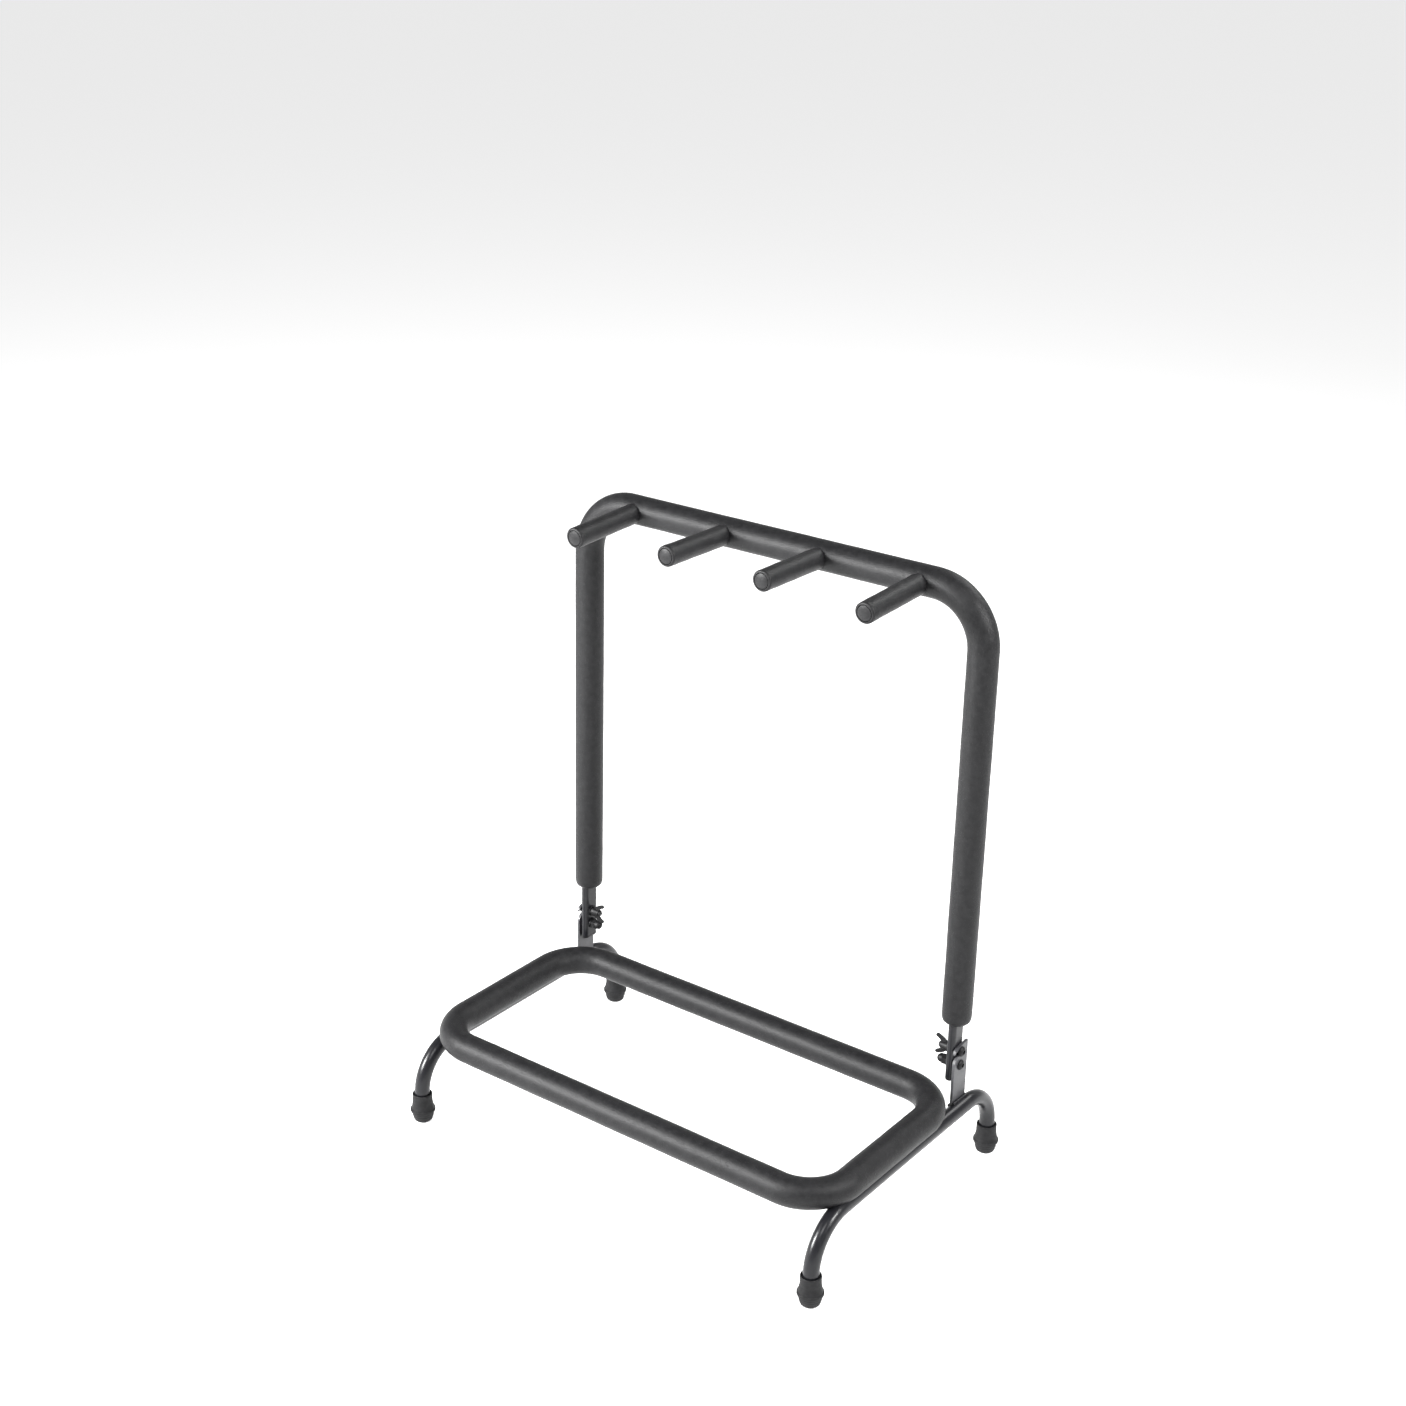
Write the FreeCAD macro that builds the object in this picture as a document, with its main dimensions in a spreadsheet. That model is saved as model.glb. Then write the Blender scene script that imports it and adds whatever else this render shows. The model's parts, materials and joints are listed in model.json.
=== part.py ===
import FreeCAD, Part
import math
import os
import Sketcher

# A folding rack for three guitars. Two bent leg tubes carry a foam-covered loop, and a
# foam-covered back frame with four pegs is pinned to a plate on each leg.
# Frame: millimetres, +X to the rack's right, +Y to the back, +Z up. The origin is on the
# floor, midway between the feet.

os.makedirs("parts", exist_ok=True)
doc = FreeCAD.newDocument("GuitarRack")
Vector = FreeCAD.Vector
Rotation = FreeCAD.Rotation
X_AXIS = Vector(1, 0, 0)
Z_AXIS = Vector(0, 0, 1)

# ---------------------------------------------------------------- driving dimensions

DRIVING = [
    # legs and feet
    ("footSpan", 316.0, "front foot centre to rear foot centre"),
    ("legSpacing", 492.0, "left leg centreline to right leg centreline"),
    ("legHeight", 80.0, "floor to the centreline of a leg's level run"),
    ("legTube", 16.0, "outside diameter of a leg tube"),
    ("legWall", 1.5, "wall of a leg tube"),
    ("frontBend", 48.0, "centreline radius of a leg's front bend"),
    ("rearBend", 44.0, "centreline radius of a leg's rear bend"),
    ("footHeight", 32.0, "height of a rubber foot"),
    ("footFloor", 6.5, "rubber under the end of the leg tube"),
    ("footFit", 0.05, "radial clearance of a leg tube in its foot"),
    ("footWall", 2.25, "rubber round the leg tube at the lip"),
    ("footFlare", 2.7, "lip out to the ridge, radially"),
    ("footTuck", 5.0, "ridge in to the flat that touches the floor, radially"),
    ("ridgeHeight", 14.0, "floor to the ridge"),
    ("ridgeHalf", 1.1, "half the height of the rounded ridge"),
    ("ridgeRound", 1.3, "radius of the ridge in section"),
    ("waistHeight", 22.1, "floor to the waist under the lip"),
    ("waistSwell", 0.1, "waist radius beyond the lip radius"),
    ("lipRound", 0.6, "rounding of the lip"),
    ("toeHeight", 3.5, "floor to the top of the rounded toe"),
    ("toeInset", 2.25, "ridge in to the toe, radially"),
    ("toeRound", 4.9, "radius of the toe in section"),
    ("lipRecess", 1.3, "width and depth of the recess round the tube at the lip"),
    # base loop
    ("railInset", 4.0, "leg centreline in to the loop's side rail centreline"),
    ("loopDepth", 223.0, "centreline depth of the loop"),
    ("loopInset", 18.0, "front foot centre back to the front rail's centreline"),
    ("loopCorner", 47.0, "centreline radius of the loop's corners"),
    ("loopTube", 16.0, "outside diameter of the loop tube"),
    ("loopWall", 1.2, "wall of the loop tube"),
    ("loopFoamWall", 7.0, "thickness of the foam on the loop"),
    ("foamFit", 0.1, "clearance between foam and the steel in it"),
    ("notchFit", 0.4, "clearance between the loop foam and what it is notched for"),
    ("railBead", 2.6, "radius of a weld bead between loop and leg"),
    ("railBeadOffset", 4.8, "distance of that bead from the line through both tubes"),
    ("railBeadLength", 60.0, "length of that bead"),
    # pivot plates
    ("plateWidth", 24.0, "front edge to rear edge of a plate"),
    ("plateThickness", 3.0, "thickness of a plate"),
    ("plateRear", 13.0, "pivot bolt back to the rear edge"),
    ("plateAbove", 6.0, "lock bolt up to the top edge at its front"),
    ("tipAbove", 8.0, "lock bolt up to the rear top corner"),
    ("plateCorner", 7.0, "radius of the front top corner"),
    ("pivotGap", 17.0, "rear rail's centreline back to the pivot bolts"),
    ("pivotRise", 48.5, "leg centreline up to the pivot bolts"),
    ("lockRadius", 15.0, "pivot bolt up to the lock bolt"),
    ("notchClearance", 0.4, "clearance round the lock bolt in its notch"),
    ("notchSweep", 75.0, "angle of the notch about the pivot, degrees"),
    ("plateBead", 2.0, "radius of the weld bead at the foot of a plate"),
    ("beadAway", 0.8, "face of a plate out to the centre of its bead"),
    ("beadUp", 0.5, "surface of the leg up to the centre of that bead"),
    ("movingGap", 0.3, "gap between faces that slide past each other"),
    # back frame
    ("uprightInset", 10.8, "leg centreline in to an upright's centreline"),
    ("frameHeight", 487.5, "pivot bolt up to the top bar's centreline"),
    ("frameCorner", 55.0, "centreline radius of the top corners"),
    ("frameTube", 16.0, "outside diameter of the back frame tube"),
    ("frameWall", 1.2, "wall of the back frame tube"),
    ("frameFoamWall", 7.0, "thickness of the foam on the back frame"),
    ("backLean", 1.0, "backward lean of the back frame, degrees"),
    ("flatThickness", 9.0, "thickness of the flattened lower end"),
    ("flatTop", 55.0, "pivot bolt up to where the flattening begins to blend"),
    ("roundStart", 80.0, "pivot bolt up to where the tube is fully round"),
    ("tubeBelow", 13.5, "pivot bolt down to the end of the tube"),
    ("plugHead", 4.0, "thickness of the plug outside the tube"),
    ("plugDepth", 7.5, "length of the plug inside the tube"),
    ("plugFit", 0.1, "clearance of the plug in the tube"),
    ("plugRound", 2.4, "rounding of the plug's outer edge"),
    ("foamStart", 46.5, "pivot bolt up to the lower end of the foam"),
    ("foamTaper", 8.5, "height of the foam's tapered end"),
    ("foamEndWall", 1.6, "foam beyond the flattened tube at its lower end"),
    # pegs
    ("innerPegs", 112.0, "spacing of the two inner pegs"),
    ("outerPegs", 338.0, "spacing of the two outer pegs"),
    ("pegReach", 103.0, "top bar's centreline to the end of a peg"),
    ("pegRod", 10.0, "diameter of a peg's steel rod"),
    ("pegFoam", 21.0, "diameter of a peg over its foam"),
    ("pegRim", 0.3, "flat rim of foam round the end cap"),
    ("capDiameter", 15.0, "diameter of the end cap"),
    ("capDepth", 4.0, "depth of the end cap in the foam"),
    ("capCrown", 1.0, "height of the cap's domed face"),
    ("outerDroop", 3.0, "downward tilt of the outer pegs, degrees"),
    ("innerDroop", 0.0, "downward tilt of the inner pegs, degrees"),
    ("pegBead", 2.5, "leg of the weld bead round a rod"),
    # fasteners
    ("boltSize", 6.0, "diameter of every bolt"),
    ("boltPoint", 0.5, "chamfer at the end of a bolt"),
    ("headRim", 2.25, "bolt head beyond its shank, radially"),
    ("headHeight", 3.3, "height of a bolt head"),
    ("headEdge", 1.0, "height of the head's upright edge"),
    ("socketAcross", 4.0, "hexagon socket across its flats"),
    ("socketDepth", 2.0, "depth of the socket"),
    ("nutThread", 7.7, "length of a pivot bolt inside its dome nut"),
    ("wingThread", 10.9, "length of a lock bolt past the gap at its wing nut"),
    ("pinFit", 0.05, "radial clearance of a bolt in the holes it turns in"),
    ("washerRim", 2.95, "washer beyond its hole, radially"),
    ("washerThickness", 1.2, "thickness of a washer"),
    ("nutWall", 2.0, "dome nut beyond its bolt at the flats"),
    ("domeInset", 0.4, "flats of the dome nut in to its dome"),
    ("nutHex", 5.0, "height of the dome nut's hexagon"),
    ("nutDome", 7.0, "height of the dome nut's dome"),
    ("nutBore", 9.0, "depth of the dome nut's bore"),
    ("hubBaseWall", 1.95, "wall of the wing nut's hub at the washer"),
    ("hubTopWall", 0.75, "wall of the wing nut's hub at its far end"),
    ("hubHeight", 9.0, "height of the wing nut's hub"),
    ("wingReach", 10.8, "radius of the wing tips"),
    ("wingHeight", 15.0, "height of the wing tips above the washer"),
    ("wingThickness", 2.4, "thickness of a wing"),
]

sheet = doc.addObject("Spreadsheet::Sheet", "Sizes")
for row, (alias, value, note) in enumerate(DRIVING, start=1):
    sheet.set(f"A{row}", note)
    sheet.set(f"B{row}", str(value))
    sheet.setAlias(f"B{row}", alias)
doc.recompute()


class Dim:
    """A length that holds its value and the sheet expression that gives it."""

    def __init__(self, value, text):
        self.value = value
        self.text = text

    def joined(self, other, sign, value, other_first=False):
        first, second = (other, self) if other_first else (self, other)
        return Dim(value, f"({first.text} {sign} {second.text})")

    def __add__(self, other):
        other = as_dim(other)
        return self.joined(other, "+", self.value + other.value)

    def __sub__(self, other):
        other = as_dim(other)
        return self.joined(other, "-", self.value - other.value)

    def __rsub__(self, other):
        other = as_dim(other)
        return self.joined(other, "-", other.value - self.value, other_first=True)

    def __mul__(self, other):
        other = as_dim(other)
        return self.joined(other, "*", self.value * other.value)

    def __truediv__(self, other):
        other = as_dim(other)
        return self.joined(other, "/", self.value / other.value)

    def __neg__(self):
        return Dim(-self.value, f"(-1 * {self.text})")

    __radd__ = __add__
    __rmul__ = __mul__


def as_dim(number):
    return number if isinstance(number, Dim) else Dim(float(number), f"({float(number)})")


def root(dim):
    return Dim(math.sqrt(dim.value), f"sqrt({dim.text})")


class Sizes:
    """Reads a driving dimension from the sheet as a Dim: size.legTube."""

    def __getattr__(self, alias):
        return Dim(float(sheet.get(alias)), f"Sizes.{alias}")


size = Sizes()
ZERO = as_dim(0)

# ---------------------------------------------------------------- helpers


def bind(obj, prop, dim):
    obj.setExpression(prop, as_dim(dim).text)


def new_body(name):
    body = doc.addObject("PartDesign::Body", name)
    body.Label = name
    return body


def new_sketch(body, name, role, offset=ZERO):
    """An empty sketch on one of the body's origin planes, moved along that plane's normal."""
    sketch = body.newObject("Sketcher::SketchObject", f"{body.Name}_{name}")
    plane = next(item for item in body.Origin.OriginFeatures if item.Role == role)
    sketch.AttachmentSupport = (plane, [""])
    sketch.MapMode = "FlatFace"
    if offset.value != 0:
        bind(sketch, "AttachmentOffset.Base.z", offset)
    return sketch


def dimension(sketch, kind, ends, dim):
    index = sketch.addConstraint(Sketcher.Constraint(kind, *ends, dim.value))
    bind(sketch, f"Constraints[{index}]", dim)


def pin_point(sketch, geometry, position, x, y):
    """Fixes a sketch point at (x, y), measured from the sketch's origin. None leaves one free."""
    for dim, kind, axis in ((x, "DistanceX", -2), (y, "DistanceY", -1)):
        if dim is None:
            continue
        if abs(dim.value) < 1e-9:
            sketch.addConstraint(Sketcher.Constraint("PointOnObject", geometry, position, axis))
        elif dim.value > 0:
            dimension(sketch, kind, (-1, 1, geometry, position), dim)
        else:
            dimension(sketch, kind, (geometry, position, -1, 1), -dim)


def add_circle(sketch, x, y, radius):
    circle = Part.Circle(Vector(x.value, y.value, 0), Z_AXIS, radius.value)
    index = sketch.addGeometry(circle, False)
    pin_point(sketch, index, 3, x, y)
    dimension(sketch, "Radius", (index,), radius)


def arc_between(start, end, radius, turn):
    """The short arc from start to end; turn is +1 to the left and -1 to the right."""
    chord = end - start
    middle = (start + end) * 0.5
    rise = math.sqrt(max(radius * radius - chord.Length ** 2 / 4, 0))
    side = Vector(-chord.y, chord.x, 0).normalize() * (rise * turn)
    centre = middle + side
    first, last = (start, end) if turn > 0 else (end, start)
    angles = [math.atan2(point.y - centre.y, point.x - centre.x) for point in (first, last)]
    return Part.ArcOfCircle(Part.Circle(centre, Z_AXIS, radius), *angles)


def size_arc(sketch, index, start, end, radius):
    """Fixes an arc whose ends are pinned: by its radius, or by its centre if it is a half circle."""
    wide, tall = end[0] - start[0], end[1] - start[1]
    chord = math.hypot(wide.value, tall.value)
    if chord < radius.value * 2 - 1e-6:
        dimension(sketch, "Radius", (index,), radius)
    elif abs(tall.value) > abs(wide.value):
        pin_point(sketch, index, 3, (start[0] + end[0]) / 2, None)
    else:
        pin_point(sketch, index, 3, None, (start[1] + end[1]) / 2)


def add_outline(sketch, points, closed=True):
    """Lines and arcs through pinned points. A point is (x, y), or (x, y, radius, turn) when
    an arc leads to it from the point before."""
    points = [tuple(as_dim(item) for item in point[:3]) + tuple(point[3:]) for point in points]
    spans = list(zip(points, points[1:] + points[:1])) if closed else list(zip(points, points[1:]))
    ends = []
    for start, end in spans:
        first = Vector(start[0].value, start[1].value, 0)
        last = Vector(end[0].value, end[1].value, 0)
        if len(end) == 4:
            radius, turn = end[2], end[3]
            index = sketch.addGeometry(arc_between(first, last, radius.value, turn), False)
            ends.append((index, 1, 2) if turn > 0 else (index, 2, 1))
            size_arc(sketch, index, start, end, radius)
        else:
            index = sketch.addGeometry(Part.LineSegment(first, last), False)
            ends.append((index, 1, 2))
        pin_point(sketch, index, ends[-1][1], start[0], start[1])
    joints = list(zip(ends, ends[1:] + ends[:1])) if closed else list(zip(ends, ends[1:]))
    for (before, _, tail), (after, head, _) in joints:
        sketch.addConstraint(Sketcher.Constraint("Coincident", before, tail, after, head))
    if not closed:
        pin_point(sketch, ends[-1][0], ends[-1][2], points[-1][0], points[-1][1])


def rounded_corners(corners, radii, closed):
    """Outline points for a path of level and upright lines whose corners are rounded."""
    count = len(corners)
    points = []
    for index, (x, y) in enumerate(corners):
        radius = radii[index]
        if radius is None:
            points.append((x, y))
            continue
        before = corners[index - 1]
        after = corners[(index + 1) % count]
        step_in = unit_step(before, (x, y))
        step_out = unit_step((x, y), after)
        turn = 1 if step_in[0] * step_out[1] - step_in[1] * step_out[0] > 0 else -1
        points.append((x - radius * step_in[0], y - radius * step_in[1]))
        points.append((x + radius * step_out[0], y + radius * step_out[1], radius, turn))
    return points


def unit_step(start, end):
    """The direction of a level or upright line, as a pair of -1, 0 or 1."""
    steps = []
    for before, after in zip(start, end):
        change = after.value - before.value
        steps.append(0 if abs(change) < 1e-9 else math.copysign(1, change))
    return steps


def add_feature(body, kind, name, **settings):
    feature = body.newObject(f"PartDesign::{kind}", f"{body.Name}_{name}")
    for key, value in settings.items():
        setattr(feature, key, value)
    return feature


def add_pad(body, name, sketch, length, reverse=False, both_ways=False):
    pad = add_feature(body, "Pad", name, Profile=sketch, Reversed=reverse)
    if both_ways:
        pad.SideType = "Symmetric"
    bind(pad, "Length", length)
    return pad


def add_pocket(body, name, sketch, length, reverse=False, both_ways=False):
    """A pocket that must remove something from the body."""
    doc.recompute()
    before = body.Shape.Volume
    pocket = add_feature(body, "Pocket", name, Profile=sketch, Reversed=reverse)
    if both_ways:
        pocket.SideType = "Symmetric"
    bind(pocket, "Length", length)
    doc.recompute()
    if body.Shape.Volume > before - 1e-6:
        raise RuntimeError(f"{pocket.Name} removes nothing")
    return pocket


def turned_body(name, points, role="XZ_Plane"):
    """A solid turned about its own upright axis; the outline runs (radius, height)."""
    body = new_body(name)
    sketch = new_sketch(body, "profile", role)
    add_outline(sketch, points)
    add_feature(body, "Revolution", "turned", Profile=sketch, ReferenceAxis=(sketch, ["V_Axis"]))
    return body


def cut(name, base, *tools):
    """The base less each of its tools in turn, as Part::Cut objects."""
    for number, tool in enumerate(tools, start=1):
        last = number == len(tools)
        result = doc.addObject("Part::Cut", name if last else f"{name}_step_{number}")
        result.Base = base
        result.Tool = tool
        base = result
    base.Label = name
    return base


def fuse(name, *shapes):
    result = doc.addObject("Part::MultiFuse", name)
    result.Shapes = list(shapes)
    result.Label = name
    return result


def cylinder(name, radius, height, placement=None):
    shape = doc.addObject("Part::Cylinder", name)
    bind(shape, "Radius", radius)
    bind(shape, "Height", height)
    if placement is not None:
        shape.Placement = placement
    return shape


def move(obj, x=ZERO, y=ZERO, z=ZERO):
    for axis, dim in (("x", x), ("y", y), ("z", z)):
        bind(obj, f"Placement.Base.{axis}", dim)


nodes = []


def finished(*objects):
    """Marks objects as sub-parts, each to be written under its Label."""
    nodes.extend(objects)
    return objects[0]


SIDES = (("left", -1), ("right", 1))

# ---------------------------------------------------------------- leg tubes

half_span = size.footSpan / 2
leg_x = size.legSpacing / 2
leg_radius = size.legTube / 2


def leg_solid(name, radius):
    """A solid rod along the leg's path, in the plane X = 0."""
    body = new_body(name)
    corners = [
        (-half_span, size.footFloor),
        (-half_span, size.legHeight),
        (half_span, size.legHeight),
        (half_span, size.footFloor),
    ]
    path = new_sketch(body, "path", "YZ_Plane")
    radii = [None, size.frontBend, size.rearBend, None]
    add_outline(path, rounded_corners(corners, radii, closed=False), closed=False)
    section = new_sketch(body, "section", "XY_Plane", size.footFloor)
    add_circle(section, ZERO, -half_span, radius)
    add_feature(body, "AdditivePipe", "bent", Profile=section, Spine=(path, [""]))
    return body


for side, sign in SIDES:
    outer = leg_solid(f"{side}_leg_outer", leg_radius)
    core = leg_solid(f"{side}_leg_core", leg_radius - size.legWall)
    leg = finished(cut(f"{side}_leg_tube", outer, core))
    move(leg, x=leg_x * sign)

# ---------------------------------------------------------------- rubber feet

foot_bore = leg_radius + size.footFit
lip_radius = foot_bore + size.footWall
ridge_radius = lip_radius + size.footFlare
ridge_side = ridge_radius - size.ridgeRound
ridge_side += root(size.ridgeRound * size.ridgeRound - size.ridgeHalf * size.ridgeHalf)
recess_radius = foot_bore + size.lipRecess
FOOT_OUTLINE = [
    (ZERO, ZERO),
    (ridge_radius - size.footTuck, ZERO),
    (ridge_radius - size.toeInset, size.toeHeight, size.toeRound, 1),
    (ridge_side, size.ridgeHeight - size.ridgeHalf),
    (ridge_side, size.ridgeHeight + size.ridgeHalf, size.ridgeRound, 1),
    (lip_radius + size.waistSwell, size.waistHeight, size.footHeight, -1),
    (lip_radius, size.footHeight - size.lipRound),
    (lip_radius - size.lipRound, size.footHeight, size.lipRound, 1),
    (recess_radius, size.footHeight),
    (recess_radius - size.lipRound, size.footHeight - size.lipRecess),
    (foot_bore, size.footHeight - size.lipRecess),
    (foot_bore, size.footFloor),
    (ZERO, size.footFloor),
]

for end, reach in (("front", -1), ("rear", 1)):
    for side, sign in SIDES:
        foot = finished(turned_body(f"{end}_{side}_foot", FOOT_OUTLINE))
        move(foot, x=leg_x * sign, y=half_span * reach)

# ---------------------------------------------------------------- base loop

loop_front = size.loopInset - half_span
loop_rear = loop_front + size.loopDepth
loop_half = leg_x - size.railInset
loop_radius = size.loopTube / 2
tube_pitch = leg_radius + loop_radius
loop_rise = root(tube_pitch * tube_pitch - size.railInset * size.railInset)
loop_height = size.legHeight + loop_rise


def loop_solid(name, radius):
    """A solid ring along the loop's centreline, at its own height."""
    body = new_body(name)
    corners = [
        (ZERO, loop_front),
        (loop_half, loop_front),
        (loop_half, loop_rear),
        (-loop_half, loop_rear),
        (-loop_half, loop_front),
    ]
    path = new_sketch(body, "path", "XY_Plane", loop_height)
    radii = [None] + [size.loopCorner] * 4
    add_outline(path, rounded_corners(corners, radii, closed=True))
    section = new_sketch(body, "section", "YZ_Plane")
    add_circle(section, loop_front, loop_height, radius)
    add_feature(body, "AdditivePipe", "ring", Profile=section, Spine=(path, [""]))
    return body


loop_outer = loop_solid("loop_outer", loop_radius)
loop_core = loop_solid("loop_core", loop_radius - size.loopWall)
finished(cut("base_loop_tube", loop_outer, loop_core))


def rail_beads(name, radius, length):
    """Rods that lie in the grooves between each leg and the loop's side rail, two a side."""
    body = new_body(name)
    sketch = new_sketch(body, "ends", "XZ_Plane", -(loop_front + loop_rear) / 2)
    across = size.railBeadOffset / tube_pitch
    for _, sign in SIDES:
        for groove in (-1, 1):
            x = (leg_x + loop_half) / 2 + loop_rise * across * groove
            z = size.legHeight + loop_rise / 2 + size.railInset * across * groove
            add_circle(sketch, x * sign, z, radius)
    body.AllowCompound = True
    add_pad(body, "rods", sketch, length, both_ways=True)
    return body


def both_legs(name, radius):
    """Solid rods along both legs' paths."""
    rods = []
    for side, sign in SIDES:
        rod = leg_solid(f"{name}_{side}", radius)
        move(rod, x=leg_x * sign)
        rods.append(rod)
    return fuse(name, *rods)


loop_foam_radius = loop_radius + size.loopFoamWall
solid_legs = both_legs("solid_legs", leg_radius)
leg_envelope = both_legs("leg_envelope", leg_radius + size.notchFit)
bead_rods = rail_beads("bead_rods", size.railBead, size.railBeadLength)
bead_envelope = rail_beads(
    "bead_envelope",
    size.railBead + size.notchFit,
    size.railBeadLength + size.notchFit * 2,
)
finished(cut("loop_weld_beads", bead_rods, solid_legs, loop_outer))
loop_foam_outer = loop_solid("loop_foam_outer", loop_foam_radius)
loop_foam_bore = loop_solid("loop_foam_bore", loop_radius + size.foamFit)
finished(cut("base_loop_foam", loop_foam_outer, loop_foam_bore, leg_envelope, bead_envelope))

# ---------------------------------------------------------------- pivot plates

upright_x = leg_x - size.uprightInset
pivot_y = loop_rear + size.pivotGap
pivot_z = size.legHeight + size.pivotRise
plate_inner = upright_x + size.flatThickness / 2 + size.movingGap
plate_outer = plate_inner + size.plateThickness
plate_rear = pivot_y + size.plateRear
plate_front = plate_rear - size.plateWidth
bolt_radius = size.boltSize / 2
bolt_hole = bolt_radius + size.pinFit


def height_on_leg(x):
    """Height of the leg tube's upper surface at a distance x from the middle of the rack."""
    away = leg_x - x
    return size.legHeight + root(leg_radius * leg_radius - away * away)


def pivot_plate(side, sign):
    body = new_body(f"{side}_plate_blank")
    # the blank reaches down into the leg, which shapes its foot
    foot = size.legHeight
    lock_z = pivot_z + size.lockRadius
    top = lock_z + size.plateAbove
    outline = new_sketch(body, "outline", "YZ_Plane")
    add_outline(outline, [
        (plate_front, foot),
        (plate_rear, foot),
        (plate_rear, lock_z + size.tipAbove),
        (plate_front + size.plateCorner, top),
        (plate_front, top - size.plateCorner, size.plateCorner, 1),
    ])
    add_pad(body, "plate", outline, size.plateThickness)
    holes = new_sketch(body, "hole", "YZ_Plane")
    add_circle(holes, pivot_y, pivot_z, bolt_hole)
    add_pocket(body, "pivot_hole", holes, size.plateThickness * 3, both_ways=True)
    # the notch follows the lock bolt's swing about the pivot, out through the front edge
    notch_half = bolt_radius + size.notchClearance
    outside = size.lockRadius + notch_half
    inside = size.lockRadius - notch_half
    sweep = math.radians(size.notchSweep.value)
    ahead, above = math.sin(sweep), math.cos(sweep)
    notch = new_sketch(body, "notch", "YZ_Plane")
    add_outline(notch, [
        (pivot_y - inside * ahead, pivot_z + inside * above),
        (pivot_y, pivot_z + inside, inside, -1),
        (pivot_y, pivot_z + outside, notch_half, 1),
        (pivot_y - outside * ahead, pivot_z + outside * above, outside, 1),
    ])
    add_pocket(body, "lock_notch", notch, size.plateThickness * 3, both_ways=True)
    move(body, x=plate_inner if sign > 0 else -plate_outer)
    return cut(f"{side}_pivot_plate", body, solid_legs)


plates = []
for side, sign in SIDES:
    plates.append(finished(pivot_plate(side, sign)))

bead_seats = []
for side, sign in SIDES:
    for face, x in (("outer", plate_outer + size.beadAway),
                    ("inner", plate_inner - size.beadAway)):
        seat = cylinder(f"{side}_{face}_bead", size.plateBead, size.plateWidth,
                        FreeCAD.Placement(Vector(), Rotation(X_AXIS, -90)))
        move(seat, x * sign, plate_front, height_on_leg(x) + size.beadUp)
        bead_seats.append(seat)
finished(cut("plate_weld_beads", fuse("bead_seats", *bead_seats), solid_legs, *plates))

# ---------------------------------------------------------------- back frame
# The back frame's pieces are drawn upright, with the pivot bolts' line as their X axis, and
# then leant back about that line.


def on_frame(obj):
    obj.Placement = FreeCAD.Placement(Vector(), Rotation(X_AXIS, -size.backLean.value))
    move(obj, y=pivot_y, z=pivot_z)
    return obj


frame_radius = size.frameTube / 2
# flattening keeps the length of the tube's wall all round
flat_width = size.flatThickness + (size.frameTube - size.flatThickness) * (math.pi / 2)


def add_slot(sketch, centre_x, half_thickness, half_width):
    straight = half_width - half_thickness
    add_outline(sketch, [
        (centre_x + half_thickness, -straight, half_thickness, 1),
        (centre_x + half_thickness, straight),
        (centre_x - half_thickness, straight, half_thickness, 1),
        (centre_x - half_thickness, -straight),
    ])


def add_quartered_circle(sketch, centre_x, radius):
    """A circle in four arcs, so that each meets one side of the slot it blends into."""
    across = radius * math.sqrt(0.5)
    add_outline(sketch, [
        (centre_x + across, -across, radius, 1),
        (centre_x + across, across, radius, 1),
        (centre_x - across, across, radius, 1),
        (centre_x - across, -across, radius, 1),
    ])


def frame_path(body, start):
    corners = [
        (upright_x, start),
        (upright_x, size.frameHeight),
        (-upright_x, size.frameHeight),
        (-upright_x, start),
    ]
    path = new_sketch(body, "path", "XZ_Plane")
    radii = [None, size.frameCorner, size.frameCorner, None]
    add_outline(path, rounded_corners(corners, radii, closed=False), closed=False)
    return path


def frame_solid(name, inset):
    """The back frame's tube as a solid bar, smaller all round by the inset."""
    body = new_body(name)
    radius = frame_radius - inset
    thin = size.flatThickness / 2 - inset
    wide = flat_width / 2 - inset
    path = frame_path(body, size.roundStart)
    section = new_sketch(body, "section", "XY_Plane", size.roundStart)
    add_circle(section, upright_x, ZERO, radius)
    add_feature(body, "AdditivePipe", "bent", Profile=section, Spine=(path, [""]))
    for side, sign in SIDES:
        centre = upright_x * sign
        round_end = new_sketch(body, f"{side}_round", "XY_Plane", size.roundStart)
        add_quartered_circle(round_end, centre, radius)
        flat_end = new_sketch(body, f"{side}_flat", "XY_Plane", size.flatTop)
        add_slot(flat_end, centre, thin, wide)
        add_feature(body, "AdditiveLoft", f"{side}_blend", Profile=round_end,
                    Sections=[flat_end])
        doc.recompute()
        lower = new_sketch(body, f"{side}_lower", "XY_Plane", size.flatTop)
        add_slot(lower, centre, thin, wide)
        add_pad(body, f"{side}_flattened", lower, size.flatTop + size.tubeBelow, reverse=True)
        doc.recompute()
    return body


def cross_bore(name, radius, height):
    """A rod along X through both uprights, at a height above the pivot line."""
    rod = cylinder(name, radius, upright_x * 2 + size.flatThickness * 2,
                   FreeCAD.Placement(Vector(), Rotation(Vector(0, 1, 0), 90)))
    move(rod, x=-upright_x - size.flatThickness, z=height)
    return rod


frame_outer = frame_solid("frame_outer", ZERO)
frame_core = frame_solid("frame_core", size.frameWall)
pivot_bore = cross_bore("pivot_bore", bolt_hole, ZERO)
lock_bore = cross_bore("lock_bore", bolt_hole, size.lockRadius)
back_frame_tube = finished(cut("back_frame_tube", frame_outer, frame_core, pivot_bore, lock_bore))
on_frame(back_frame_tube)

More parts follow.
